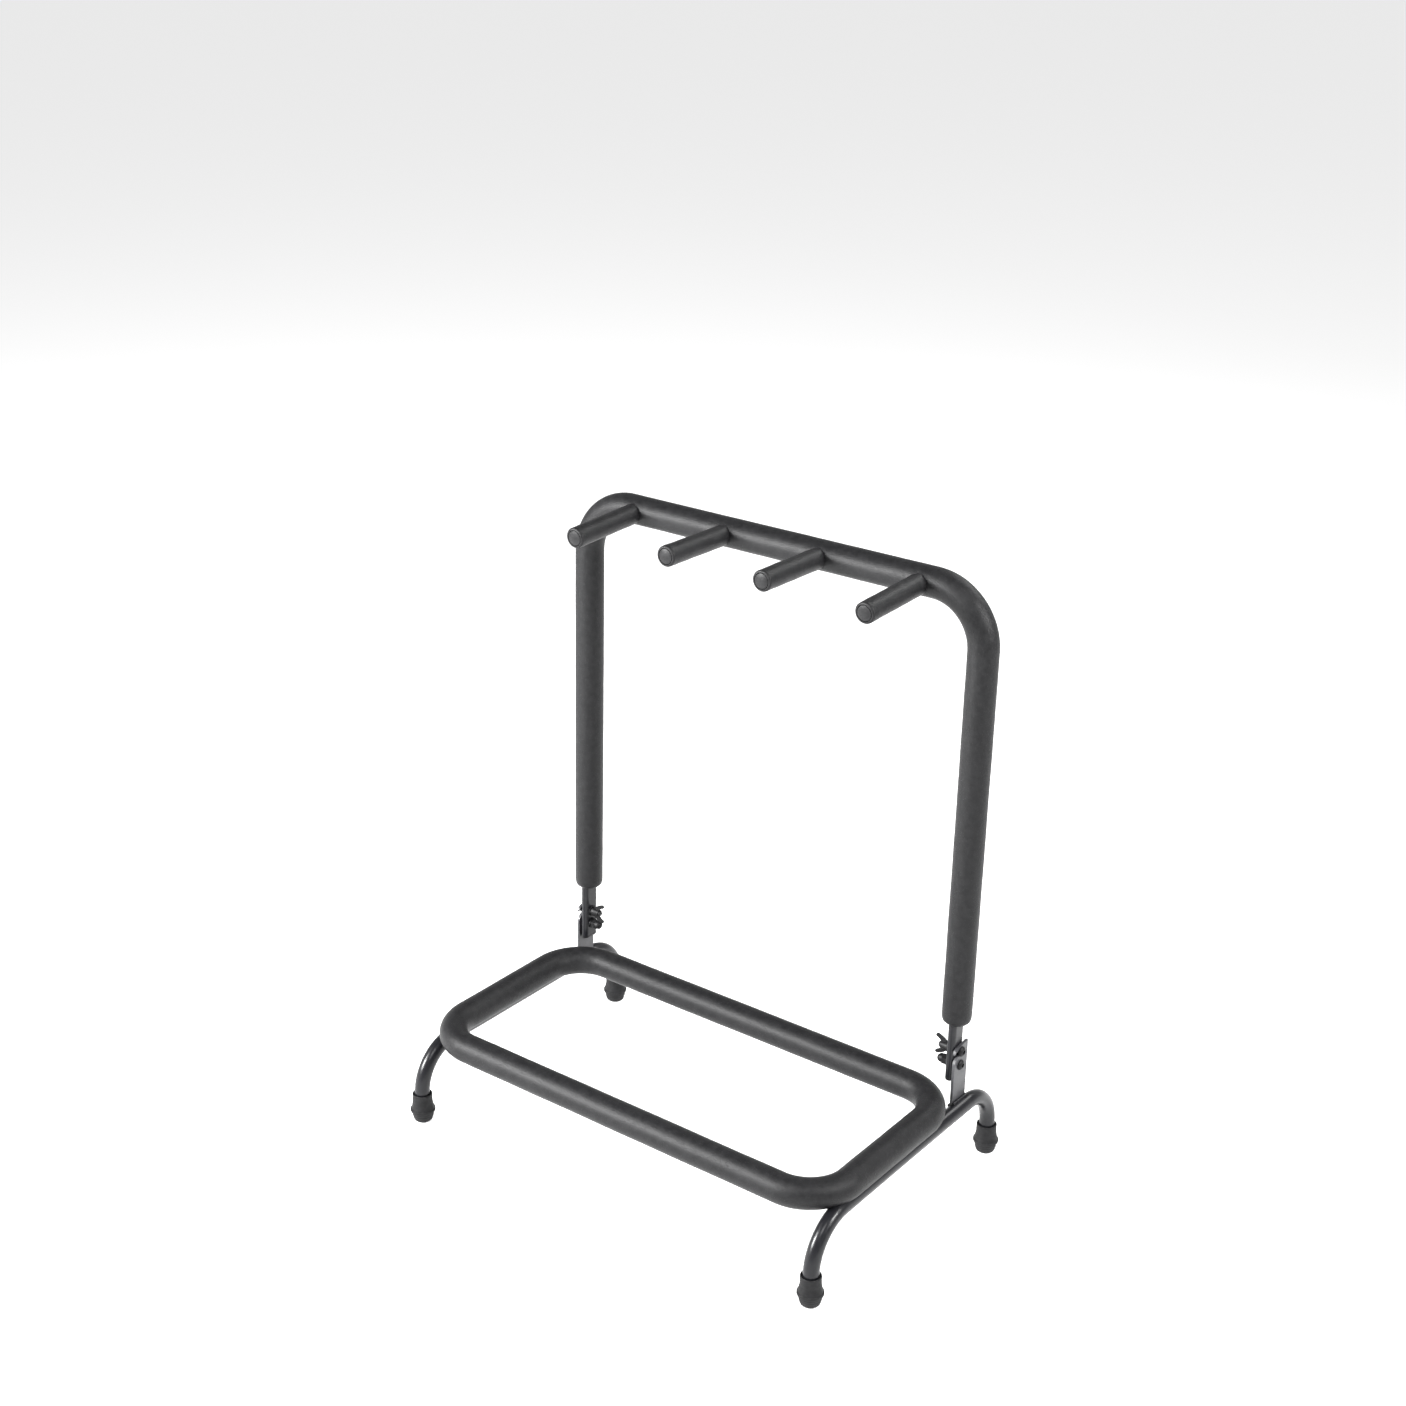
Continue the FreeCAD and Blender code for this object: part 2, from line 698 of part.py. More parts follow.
# plugs that close the flattened lower ends
for side, sign in SIDES:
    plug = new_body(f"{side}_tube_plug")
    thin = size.flatThickness / 2
    wide = flat_width / 2
    inner = size.frameWall + size.plugFit
    centre = upright_x * sign
    head = new_sketch(plug, "head", "XY_Plane", -size.tubeBelow)
    add_slot(head, centre, thin, wide)
    add_pad(plug, "cap", head, size.plugHead, reverse=True)
    doc.recompute()
    rim = [
        f"Edge{number}" for number, edge in enumerate(plug.Shape.Edges, start=1)
        if edge.BoundBox.ZMax < -size.tubeBelow.value - size.plugHead.value + 0.01
    ]
    rounding = add_feature(plug, "Fillet", "rounding", Base=(plug.Tip, rim))
    bind(rounding, "Radius", size.plugRound)
    stem = new_sketch(plug, "stem", "XY_Plane", -size.tubeBelow)
    add_slot(stem, centre, thin - inner, wide - inner)
    add_pad(plug, "insert", stem, size.plugDepth)
    finished(on_frame(plug))

# ---------------------------------------------------------------- pegs

peg_spacings = (
    (1, size.outerPegs * -0.5, size.outerDroop),
    (2, size.innerPegs * -0.5, size.innerDroop),
    (3, size.innerPegs * 0.5, size.innerDroop),
    (4, size.outerPegs * 0.5, size.outerDroop),
)
rod_radius = size.pegRod / 2
rod_bore = rod_radius + size.foamFit
cap_radius = size.capDiameter / 2
cap_bore = cap_radius + size.foamFit
cap_seat = size.pegReach - size.capDepth
peg_foam_radius = size.pegFoam / 2
peg_rounding = peg_foam_radius - cap_bore - size.pegRim
frame_foam_radius = frame_radius + size.frameFoamWall


def on_bar(obj, x, droop, leant=False):
    """Stands an upright shape on the top bar's centreline, pointing forward and down by droop.
    A leant shape is placed straight in the rack, the others in the upright back frame."""
    lean = size.backLean.value if leant else 0.0
    tilt = math.radians(lean)
    obj.Placement = FreeCAD.Placement(Vector(), Rotation(X_AXIS, 90 + droop.value - lean))
    if leant:
        move(obj, x, pivot_y + size.frameHeight * math.sin(tilt),
             pivot_z + size.frameHeight * math.cos(tilt))
    else:
        move(obj, x=x, z=size.frameHeight)
    return obj


bar_foam_envelope = new_body("bar_foam_envelope")
bar_path = frame_path(bar_foam_envelope, size.roundStart)
bar_section = new_sketch(bar_foam_envelope, "section", "XY_Plane", size.roundStart)
add_circle(bar_section, upright_x, ZERO, frame_foam_radius + size.foamFit)
add_feature(bar_foam_envelope, "AdditivePipe", "bent", Profile=bar_section, Spine=(bar_path, [""]))

solid_rods = []
bead_cones = []
bead_holes = []
for number, x, droop in peg_spacings:
    rod = cylinder(f"rod_{number}", rod_radius, cap_seat)
    solid_rods.append(on_bar(rod, x, droop))
    finished(on_frame(cut(f"peg_rod_{number}", rod, frame_outer)))

    sleeve = turned_body(f"peg_sleeve_{number}", [
        (rod_bore, ZERO),
        (peg_foam_radius, ZERO),
        (peg_foam_radius, size.pegReach - peg_rounding),
        (peg_foam_radius - peg_rounding, size.pegReach, peg_rounding, 1),
        (cap_bore, size.pegReach),
        (cap_bore, cap_seat),
        (rod_bore, cap_seat),
    ])
    on_bar(sleeve, x, droop)
    finished(on_frame(cut(f"peg_foam_{number}", sleeve, bar_foam_envelope)))

    crown = size.capCrown
    crown_radius = (cap_radius * cap_radius + crown * crown) / (crown * 2)
    cap = turned_body(f"peg_end_cap_{number}", [
        (ZERO, cap_seat),
        (cap_radius, cap_seat),
        (cap_radius, size.pegReach),
        (ZERO, size.pegReach + crown, crown_radius, 1),
    ])
    finished(on_bar(cap, x, droop, leant=True))

    cone = doc.addObject("Part::Cone", f"bead_cone_{number}")
    bind(cone, "Radius1", rod_radius + size.pegBead * 2)
    bind(cone, "Radius2", rod_radius)
    bind(cone, "Height", size.pegBead * 2)
    on_bar(cone, x, droop)
    forward = frame_radius - size.pegBead
    tilt = math.radians(droop.value)
    move(cone, x=x, y=forward * -math.cos(tilt), z=size.frameHeight - forward * math.sin(tilt))
    bead_cones.append(cone)
    hole = cylinder(f"bead_hole_{number}", rod_radius + size.pegBead * 2, size.pegReach / 2)
    bead_holes.append(on_bar(hole, x, droop))

weld_cones = fuse("weld_cones", *bead_cones)
finished(on_frame(cut("peg_weld_beads", weld_cones, frame_outer, *solid_rods)))

# ---------------------------------------------------------------- back frame foam

foam_shell = new_body("frame_foam_outer")
straight_start = size.foamStart + size.foamTaper
foam_path = frame_path(foam_shell, straight_start)
foam_section = new_sketch(foam_shell, "section", "XY_Plane", straight_start)
add_circle(foam_section, upright_x, ZERO, frame_foam_radius)
add_feature(foam_shell, "AdditivePipe", "bent", Profile=foam_section, Spine=(foam_path, [""]))
foam_ends = [foam_shell]
for side, sign in SIDES:
    taper = doc.addObject("Part::Cone", f"{side}_foam_taper")
    bind(taper, "Radius1", flat_width / 2 + size.foamEndWall)
    bind(taper, "Radius2", frame_foam_radius)
    bind(taper, "Height", size.foamTaper)
    move(taper, x=upright_x * sign, z=size.foamStart)
    foam_ends.append(taper)
foam_bore = frame_solid("foam_bore", -size.foamFit)
foam_blank = fuse("foam_blank", *foam_ends)
finished(on_frame(cut("back_frame_foam", foam_blank, foam_bore, *bead_holes)))

# ---------------------------------------------------------------- fasteners
# Each is turned about its own Z axis and then laid along X, heads outward.


def on_side(obj, sign, x, up, leant):
    """Lays an upright piece along X with its top outward, at x from the middle of the rack and
    a height above the pivot line. A leant piece belongs to the back frame."""
    lean = math.radians(size.backLean.value) if leant else 0.0
    turn = Rotation(Vector(0, 1, 0), 90 * sign)
    if leant:
        turn = Rotation(X_AXIS, -size.backLean.value) * turn
    obj.Placement = FreeCAD.Placement(Vector(), turn)
    move(obj, x=x * sign, y=pivot_y + up * math.sin(lean), z=pivot_z + up * math.cos(lean))
    return obj


head_radius = bolt_radius + size.headRim
washer_radius = bolt_hole + size.washerRim

# shares that shape the bolt head's crown and the wing nut, where they meet no other piece
crown_flat = 0.5
crown_round = 0.9
collar_share = 0.25
ear_share = 0.17
ear_outer_round = 1.6
ear_inner_round = 1.2
wing_top = (0.5, 0.15)
wing_shoulder = (1.08, 0.3)
wing_heel = (0.84, 0.92)


def bolt(name, length):
    """A button-head bolt whose head sits on z = 0 and whose shank runs down."""
    body = turned_body(name, [
        (ZERO, -length),
        (bolt_radius - size.boltPoint, -length),
        (bolt_radius, size.boltPoint - length),
        (bolt_radius, ZERO),
        (head_radius, ZERO),
        (head_radius, size.headEdge),
        (head_radius * crown_flat, size.headHeight, head_radius * crown_round, 1),
        (ZERO, size.headHeight),
    ])
    doc.recompute()
    socket = new_sketch(body, "socket", "XY_Plane", size.headHeight)
    add_hexagon(socket, size.socketAcross)
    add_pocket(body, "drive", socket, size.socketDepth)
    return body


def add_hexagon(sketch, across):
    corner = across / math.sqrt(3)
    add_outline(sketch, [
        (corner * math.cos(math.radians(60 * step)), corner * math.sin(math.radians(60 * step)))
        for step in range(6)
    ])


def washer(name):
    return turned_body(name, [
        (bolt_hole, ZERO),
        (washer_radius, ZERO),
        (washer_radius, size.washerThickness),
        (bolt_hole, size.washerThickness),
    ])


def dome_nut(name):
    """A dome nut that seats on z = 0 with its dome below."""
    body = new_body(name)
    hexagon = new_sketch(body, "hexagon", "XY_Plane")
    across = size.boltSize + size.nutWall * 2
    add_hexagon(hexagon, across)
    add_pad(body, "hex", hexagon, size.nutHex, reverse=True)
    doc.recompute()
    dome_radius = across / 2 - size.domeInset
    profile = new_sketch(body, "dome_profile", "XZ_Plane")
    shoulder = size.nutDome - dome_radius
    add_outline(profile, [
        (ZERO, -(size.nutHex + size.nutDome)),
        (dome_radius, -(size.nutHex + shoulder), dome_radius, 1),
        (dome_radius, -size.nutHex * 0.5),
        (ZERO, -size.nutHex * 0.5),
    ])
    add_feature(body, "Revolution", "dome", Profile=profile, ReferenceAxis=(profile, ["V_Axis"]))
    doc.recompute()
    bore = new_sketch(body, "bore", "XY_Plane")
    add_circle(bore, ZERO, ZERO, bolt_radius)
    add_pocket(body, "thread", bore, size.nutBore)
    return body


def wing_nut(name):
    """A wing nut that seats on z = 0 with its wings below, one on each side of X."""
    body = new_body(name)
    hub_base = bolt_hole + size.hubBaseWall
    hub_top = bolt_hole + size.hubTopWall
    profile = new_sketch(body, "hub_profile", "XZ_Plane")
    add_outline(profile, [
        (ZERO, ZERO),
        (hub_base, ZERO),
        (hub_base, -size.hubHeight * collar_share),
        (hub_top, -size.hubHeight),
        (ZERO, -size.hubHeight),
    ])
    add_feature(body, "Revolution", "hub", Profile=profile, ReferenceAxis=(profile, ["V_Axis"]))
    doc.recompute()
    reach = size.wingReach
    tip = size.wingHeight
    tip_half = reach * ear_share
    for side, sign in SIDES:
        wing = new_sketch(body, f"{side}_wing", "XZ_Plane")
        add_outline(wing, [
            (hub_top * wing_top[0] * sign, -size.hubHeight * wing_top[1]),
            (hub_base * wing_shoulder[0] * sign, -size.hubHeight * wing_shoulder[1]),
            (reach * sign, tip_half - tip, tip * ear_outer_round, -sign),
            ((reach - tip_half * 2) * sign, tip_half - tip, tip_half, -sign),
            (hub_top * wing_heel[0] * sign, -size.hubHeight * wing_heel[1], tip * ear_inner_round, sign),
        ])
        add_pad(body, f"{side}_blade", wing, size.wingThickness, both_ways=True)
        doc.recompute()
    bore = new_sketch(body, "bore", "XY_Plane")
    add_circle(bore, ZERO, ZERO, bolt_hole)
    add_pocket(body, "thread", bore, size.wingHeight)
    return body


tube_inner = upright_x - size.flatThickness / 2
# from outside in, both bolts pass the plate, the gap, the tube and a washer
clamped = plate_outer - tube_inner + size.washerThickness + size.movingGap
pivot_bolt_length = clamped + size.nutThread
lock_bolt_length = clamped + size.movingGap + size.wingThread
for side, sign in SIDES:
    pivot_bolt = bolt(f"{side}_pivot_bolt", pivot_bolt_length)
    finished(on_side(pivot_bolt, sign, plate_outer, ZERO, leant=False))
    washer_face = tube_inner - size.movingGap
    pivot_washer = washer(f"{side}_pivot_washer")
    finished(on_side(pivot_washer, sign, washer_face - size.washerThickness, ZERO, leant=False))
    nut = dome_nut(f"{side}_dome_nut")
    finished(on_side(nut, sign, washer_face - size.washerThickness, ZERO, leant=False))

    lock_bolt = bolt(f"{side}_lock_bolt", lock_bolt_length)
    finished(on_side(lock_bolt, sign, plate_outer + size.movingGap, size.lockRadius, leant=True))
    lock_washer = washer(f"{side}_lock_washer")
    lock_face = tube_inner - size.washerThickness
    finished(on_side(lock_washer, sign, lock_face, size.lockRadius, leant=True))
    wings = wing_nut(f"{side}_wing_nut")
    finished(on_side(wings, sign, lock_face - size.movingGap, size.lockRadius, leant=True))

# ---------------------------------------------------------------- checks and files

doc.recompute()
for item in doc.Objects:
    if "Invalid" in item.State or "Error" in item.State:
        raise RuntimeError(f"{item.Label} did not build: {item.State}")
for node in nodes:
    if node.Shape.isNull() or not node.Shape.isValid() or not node.Shape.Solids:
        raise RuntimeError(f"{node.Label} has no valid solid")
for node in nodes:
    node.Shape.exportStep(f"parts/{node.Label}.step")
print(f"{len(nodes)} sub-parts written")
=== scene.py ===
import json
import math

import bmesh
import bpy
import numpy as np
from mathutils import Matrix, Vector


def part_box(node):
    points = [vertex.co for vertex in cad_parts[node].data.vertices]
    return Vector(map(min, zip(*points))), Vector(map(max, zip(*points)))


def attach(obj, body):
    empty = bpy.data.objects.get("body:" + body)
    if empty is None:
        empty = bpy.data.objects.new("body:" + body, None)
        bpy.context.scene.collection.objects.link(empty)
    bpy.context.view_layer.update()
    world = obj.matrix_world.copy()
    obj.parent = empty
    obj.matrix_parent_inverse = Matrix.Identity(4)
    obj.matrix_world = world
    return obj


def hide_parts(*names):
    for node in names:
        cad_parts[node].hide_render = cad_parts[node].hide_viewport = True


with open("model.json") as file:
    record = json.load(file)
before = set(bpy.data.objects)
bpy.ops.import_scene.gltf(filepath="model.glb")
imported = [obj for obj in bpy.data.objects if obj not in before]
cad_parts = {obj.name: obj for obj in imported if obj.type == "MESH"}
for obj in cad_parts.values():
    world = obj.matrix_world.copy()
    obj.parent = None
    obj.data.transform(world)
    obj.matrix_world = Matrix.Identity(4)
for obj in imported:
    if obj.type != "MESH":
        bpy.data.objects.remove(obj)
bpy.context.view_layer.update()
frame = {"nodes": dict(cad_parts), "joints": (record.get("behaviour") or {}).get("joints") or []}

nodes = frame["nodes"]
foldJoint = next(joint for joint in frame["joints"] if joint["name"] == "back_fold")
pivot = Vector(foldJoint["pos_m"])
sides = {"left": -1, "right": 1}
tiny = 1e-6        # keeps a division clear of zero

# the back frame leans back from upright about its pivot bolts
backFrame = {"lean": 1.0, "cornerRadius": 0.055}
lean = math.radians(backFrame["lean"])
leanBack = Matrix.Translation(pivot) @ Matrix.Rotation(-lean, 4, "X")


class Sock:
    # a shader socket that takes part in sums, each of which adds a Math node
    def __init__(self, finish, socket):
        self.finish = finish
        self.socket = socket

    def maths(self, operation, first, second):
        return self.finish.node("ShaderNodeMath", {"operation": operation}, {0: first, 1: second})

    def __add__(self, other):
        return self.maths("ADD", self, other)

    def __sub__(self, other):
        return self.maths("SUBTRACT", self, other)

    def __rsub__(self, other):
        return self.maths("SUBTRACT", other, self)

    def __mul__(self, other):
        return self.maths("MULTIPLY", self, other)

    __radd__ = __add__
    __rmul__ = __mul__

    def between(self, low, high):
        # 0 at low, 1 at high, smooth in between
        return self.finish.node("ShaderNodeMapRange", {"interpolation_type": "SMOOTHSTEP"},
                                {"Value": self, "From Min": low, "From Max": high})


class Finish:
    # one material and its nodes
    def __init__(self, name):
        self.material = bpy.data.materials.new(name)
        self.material.use_nodes = True
        self.tree = self.material.node_tree
        self.tree.nodes.clear()
        self.place = self.node("ShaderNodeTexCoord", out="Object")

    def node(self, kind, settings=None, inputs=None, out=0):
        made = self.tree.nodes.new(kind)
        for key, value in (settings or {}).items():
            setattr(made, key, value)
        for key, value in (inputs or {}).items():
            if isinstance(value, Sock):
                self.tree.links.new(value.socket, made.inputs[key])
            else:
                made.inputs[key].default_value = value
        return Sock(self, made.outputs[out])

    def noise(self, size, detail=3.0, roughness=0.55):
        # soft cloud with features about size metres across
        return self.node("ShaderNodeTexNoise", None, {
            "Vector": self.place, "Scale": 1 / size, "Detail": detail, "Roughness": roughness})

    def cells(self, size):
        # distance from the middle of the nearest cell, in cells about size metres across
        return self.node("ShaderNodeTexVoronoi", {"feature": "F1"},
                         {"Vector": self.place, "Scale": 1 / size}, "Distance")

    def blend(self, factor, first, second):
        # inputs 6 and 7 and output 2 are the Mix node's colours
        first, second = ((*colour, 1) if isinstance(colour, tuple) else colour
                         for colour in (first, second))
        return self.node("ShaderNodeMix", {"data_type": "RGBA"},
                         {0: factor, 6: first, 7: second}, 2)

    def close(self, fixed, colour, roughness, height, relief, metallic=None):
        # the surface itself: fixed holds what is the same all over it
        bump = self.node("ShaderNodeBump", None,
                         {"Height": height, "Distance": relief, "Strength": 1.0}, "Normal")
        inputs = {**fixed, "Base Color": colour, "Roughness": roughness, "Normal": bump}
        if metallic is not None:
            inputs["Metallic"] = metallic
        shader = self.node("ShaderNodeBsdfPrincipled", None, inputs, "BSDF")
        made = self.tree.nodes.new("ShaderNodeOutputMaterial")
        self.tree.links.new(shader.socket, made.inputs["Surface"])
        return self.material


foamLook = {
    "dark": (0.0050, 0.0050, 0.0056), "light": (0.0095, 0.0095, 0.0102),
    "dust": (0.034, 0.033, 0.032), "dustShare": 0.22,
    "poreShade": (0.018, 0.018, 0.019), "poreShare": 0.35,
    "skin": 0.0011, "pore": 0.0022, "mottle": 0.006, "scuff": 0.009,
    "rough": 0.37, "shine": 0.22, "relief": 0.00034,
}


def makeFoam():
    # the sleeves' foam: a mottled skin with fine pores and dull scuffs
    look = foamLook
    finish = Finish("charcoalFoam")
    mottle = finish.noise(look["mottle"], 4.0)
    grain = finish.noise(look["skin"], 4.0, 0.65)
    pores = 1 - finish.cells(look["pore"]).between(0.0, 0.28)
    scuffs = finish.noise(look["scuff"], 6.0, 0.7).between(0.60, 0.78)
    colour = finish.blend(mottle.between(0.3, 0.7), look["dark"], look["light"])
    colour = finish.blend(scuffs * look["dustShare"], colour, look["dust"])
    colour = finish.blend(pores * look["poreShare"], colour, look["poreShade"])
    roughness = look["rough"] + mottle * 0.12 + grain * 0.10 + scuffs * 0.06
    height = grain * 0.7 - pores * 0.6 + mottle * 0.6
    return finish.close({"Specular IOR Level": look["shine"]}, colour, roughness, height,
                        look["relief"])


paintLook = {
    "black": (0.0045, 0.0046, 0.0060), "grey": (0.0080, 0.0082, 0.0100),
    "dust": (0.06, 0.059, 0.057), "dustShare": 0.10,
    "peel": 0.0032, "fleck": 0.0009, "cloud": 0.02,
    "rough": 0.28, "shine": 0.24, "coat": 0.08, "coatRough": 0.14, "relief": 0.00006,
}


def makePaint():
    # black gloss powder coat, with its orange peel
    look = paintLook
    finish = Finish("glossBlackPaint")
    peel = finish.noise(look["peel"], 2.0)
    fleck = finish.noise(look["fleck"], 2.0)
    cloud = finish.noise(look["cloud"], 5.0, 0.6)
    handled = cloud.between(0.52, 0.72)
    colour = finish.blend(cloud, look["black"], look["grey"])
    colour = finish.blend(handled * look["dustShare"], colour, look["dust"])
    roughness = look["rough"] + peel * 0.06 + handled * 0.10
    fixed = {"Coat Weight": look["coat"], "Coat Roughness": look["coatRough"],
             "Specular IOR Level": look["shine"]}
    return finish.close(fixed, colour, roughness, peel + fleck * 0.25, look["relief"])


plateLook = {
    "black": (0.022, 0.022, 0.025), "grey": (0.042, 0.042, 0.046),
    "grain": 0.0013, "cloud": 0.012,
    "rough": 0.36, "shine": 0.5, "coat": 0.12, "relief": 0.00007,
}


def makePlate():
    # the pivot plates' paint is thinner and duller over sheared strip
    look = plateLook
    finish = Finish("satinPlatePaint")
    grain = finish.noise(look["grain"], 3.0)
    cloud = finish.noise(look["cloud"], 5.0, 0.6)
    colour = finish.blend(cloud.between(0.3, 0.7), look["black"], look["grey"])
    roughness = look["rough"] + grain * 0.12 + cloud * 0.08
    fixed = {"Specular IOR Level": look["shine"], "Coat Weight": look["coat"]}
    return finish.close(fixed, colour, roughness, grain + cloud * 0.8, look["relief"])


rubberLook = {
    "dark": (0.0055, 0.0055, 0.006), "light": (0.012, 0.012, 0.0128),
    "dust": (0.07, 0.068, 0.063), "dustShare": 0.35, "dustTop": 0.010, "dustRagged": 0.006,
    "grain": 0.0008, "cloud": 0.006, "rough": 0.52, "shine": 0.18, "relief": 0.00010,
}


def makeRubber():
    # moulded rubber that has picked up floor dust low down
    look = rubberLook
    finish = Finish("footRubber")
    grain = finish.noise(look["grain"], 3.0, 0.6)
    cloud = finish.noise(look["cloud"], 5.0, 0.65)
    up = finish.node("ShaderNodeSeparateXYZ", None, {"Vector": finish.place}, "Z")
    low = 1 - (up + cloud * look["dustRagged"]).between(0.0, look["dustTop"])
    colour = finish.blend(cloud.between(0.25, 0.75), look["dark"], look["light"])
    colour = finish.blend(low * cloud * look["dustShare"], colour, look["dust"])
    roughness = look["rough"] + grain * 0.14 + low * 0.12
    return finish.close({"Specular IOR Level": look["shine"]}, colour, roughness,
                        grain + cloud * 0.7, look["relief"])


capLook = {
    "dark": (0.0075, 0.0075, 0.008), "light": (0.015, 0.015, 0.016),
    "spark": 0.0007, "flow": 0.005, "rough": 0.34, "shine": 0.2, "relief": 0.00008,
}


def makeCap():
    # moulded plastic with a spark-eroded texture
    look = capLook
    finish = Finish("mouldedCap")
    spark = finish.noise(look["spark"], 2.0)
    flow = finish.noise(look["flow"], 4.0)
    colour = finish.blend(flow.between(0.3, 0.7), look["dark"], look["light"])
    return finish.close({"Specular IOR Level": look["shine"]}, colour,
                        look["rough"] + spark * 0.14, spark + flow * 0.5, look["relief"])


fastenerLook = {
    "dark": (0.0035, 0.0035, 0.004), "rubbed": (0.06, 0.06, 0.064), "rubbedShare": 0.4,
    "scratch": 0.0012, "cloud": 0.004, "rough": 0.38, "shine": 0.24, "relief": 0.00004,
    "metal": 0.06, "rubbedMetal": 0.6,
}


def makeFastener():
    # black oxide that shows a little steel where it has been handled
    look = fastenerLook
    finish = Finish("blackOxide")
    scratch = finish.noise(look["scratch"], 6.0, 0.75)
    cloud = finish.noise(look["cloud"], 4.0)
    rubbed = (scratch * cloud).between(0.27, 0.40)
    colour = finish.blend(rubbed * look["rubbedShare"], look["dark"], look["rubbed"])
    roughness = look["rough"] + cloud * 0.16 + scratch * 0.06
    return finish.close({"Specular IOR Level": look["shine"]}, colour, roughness, scratch,
                        look["relief"], look["metal"] + rubbed * look["rubbedMetal"])


foam = makeFoam()
paint = makePaint()
platePaint = makePlate()
rubber = makeRubber()
capPlastic = makeCap()
blackOxide = makeFastener()
print("finishes made")


def newTree(name, inputs):
    tree = bpy.data.node_groups.new(name, "GeometryNodeTree")
    for title, kind in {"Geometry": "Geometry", **inputs}.items():
        tree.interface.new_socket(title, in_out="INPUT", socket_type=f"NodeSocket{kind}")
    tree.interface.new_socket("Geometry", in_out="OUTPUT", socket_type="NodeSocketGeometry")
    return tree, tree.nodes.new("NodeGroupInput").outputs


def geoNode(tree, kind, settings=None, inputs=None, out=0):
    made = tree.nodes.new(kind)
    for key, value in (settings or {}).items():
        setattr(made, key, value)
    for key, value in (inputs or {}).items():
        if isinstance(value, bpy.types.NodeSocket):
            tree.links.new(value, made.inputs[key])
        else:
            made.inputs[key].default_value = value
    return made.outputs[out]


def geoMaths(tree, operation, first, second=0.0):
    return geoNode(tree, "ShaderNodeMath", {"operation": operation}, {0: first, 1: second})


def finishTree(tree, shape, material):
    real = geoNode(tree, "GeometryNodeRealizeInstances", None, {"Geometry": shape})
    painted = geoNode(tree, "GeometryNodeSetMaterial", None,
                      {"Geometry": real, "Material": material})
    end = tree.nodes.new("NodeGroupOutput")
    tree.links.new(painted, end.inputs["Geometry"])


def makeSleeveTree():
    # foam sleeve on a path: tapers to its ends and wavers a little along its length
    tree, take = newTree("foamSleeve", {
        "Radius": "Float", "End Share": "Float", "Taper": "Float", "Spacing": "Float",
        "Sides": "Int", "Waver": "Float", "Waver Size": "Float", "Seed": "Float",
        "Finish": "Material"})
    path = geoNode(tree, "GeometryNodeResampleCurve", {"mode": "LENGTH"},
                   {"Curve": take["Geometry"], "Length": take["Spacing"]})
    # the taper is a quarter of an ellipse, from the end share up to the full radius
    along = geoNode(tree, "GeometryNodeSplineParameter", None, None, "Length")
    whole = geoNode(tree, "GeometryNodeSplineLength", None, None, "Length")
    fromEnd = geoMaths(tree, "SUBTRACT", whole, along)
    nearest = geoMaths(tree, "MINIMUM", along, fromEnd)
    share = geoNode(tree, "ShaderNodeMapRange", {"clamp": True},
                    {"Value": nearest, "From Max": take["Taper"]})
    short = geoMaths(tree, "POWER", geoMaths(tree, "SUBTRACT", 1.0, share), 2.0)
    convex = geoMaths(tree, "SQRT", geoMaths(tree, "SUBTRACT", 1.0, short))
    rest = geoMaths(tree, "SUBTRACT", 1.0, take["End Share"])
    scale = geoMaths(tree, "ADD", take["End Share"], geoMaths(tree, "MULTIPLY", rest, convex))
    ring = geoNode(tree, "GeometryNodeCurvePrimitiveCircle", {"mode": "RADIUS"},
                   {"Resolution": take["Sides"], "Radius": take["Radius"]})
    tube = geoNode(tree, "GeometryNodeCurveToMesh", None,
                   {"Curve": path, "Profile Curve": ring, "Scale": scale, "Fill Caps": True})
    fineness = geoMaths(tree, "DIVIDE", 1.0, take["Waver Size"])
    cloud = geoNode(tree, "ShaderNodeTexNoise", {"noise_dimensions": "4D"},
                    {"W": take["Seed"], "Scale": fineness, "Detail": 2.0})
    lift = geoMaths(tree, "MULTIPLY", geoMaths(tree, "SUBTRACT", cloud, 0.5), take["Waver"])
    outward = geoNode(tree, "GeometryNodeInputNormal")
    offset = geoNode(tree, "ShaderNodeVectorMath", {"operation": "SCALE"},
                     {0: outward, "Scale": lift})
    wavered = geoNode(tree, "GeometryNodeSetPosition", None, {"Geometry": tube, "Offset": offset})
    finishTree(tree, wavered, take["Finish"])
    return tree


def makeBeadTree():
    # weld bead: overlapping scales laid along a path
    tree, take = newTree("weldBead", {
        "Radius": "Float", "Pitch": "Float", "Length Share": "Float", "Jitter": "Float",
        "Seed": "Int", "Finish": "Material"})
    spots = tree.nodes.new("GeometryNodeCurveToPoints")
    spots.mode = "LENGTH"
    tree.links.new(take["Geometry"], spots.inputs["Curve"])
    tree.links.new(take["Pitch"], spots.inputs["Length"])
    ball = geoNode(tree, "GeometryNodeMeshUVSphere", None,
                   {"Segments": 20, "Rings": 12, "Radius": take["Radius"]})
    low = geoMaths(tree, "SUBTRACT", 1.0, take["Jitter"])
    high = geoMaths(tree, "ADD", 1.0, take["Jitter"])
    size = geoNode(tree, "FunctionNodeRandomValue", {"data_type": "FLOAT"},
                   {"Min": low, "Max": high, "Seed": take["Seed"]}, "Value")
    squeeze = geoMaths(tree, "MULTIPLY", size, take["Length Share"])
    scale = geoNode(tree, "ShaderNodeCombineXYZ", None, {"X": size, "Y": size, "Z": squeeze})
    scales = geoNode(tree, "GeometryNodeInstanceOnPoints", None,
                     {"Points": spots.outputs["Points"], "Instance": ball,
                      "Rotation": spots.outputs["Rotation"], "Scale": scale})
    finishTree(tree, scales, take["Finish"])
    return tree


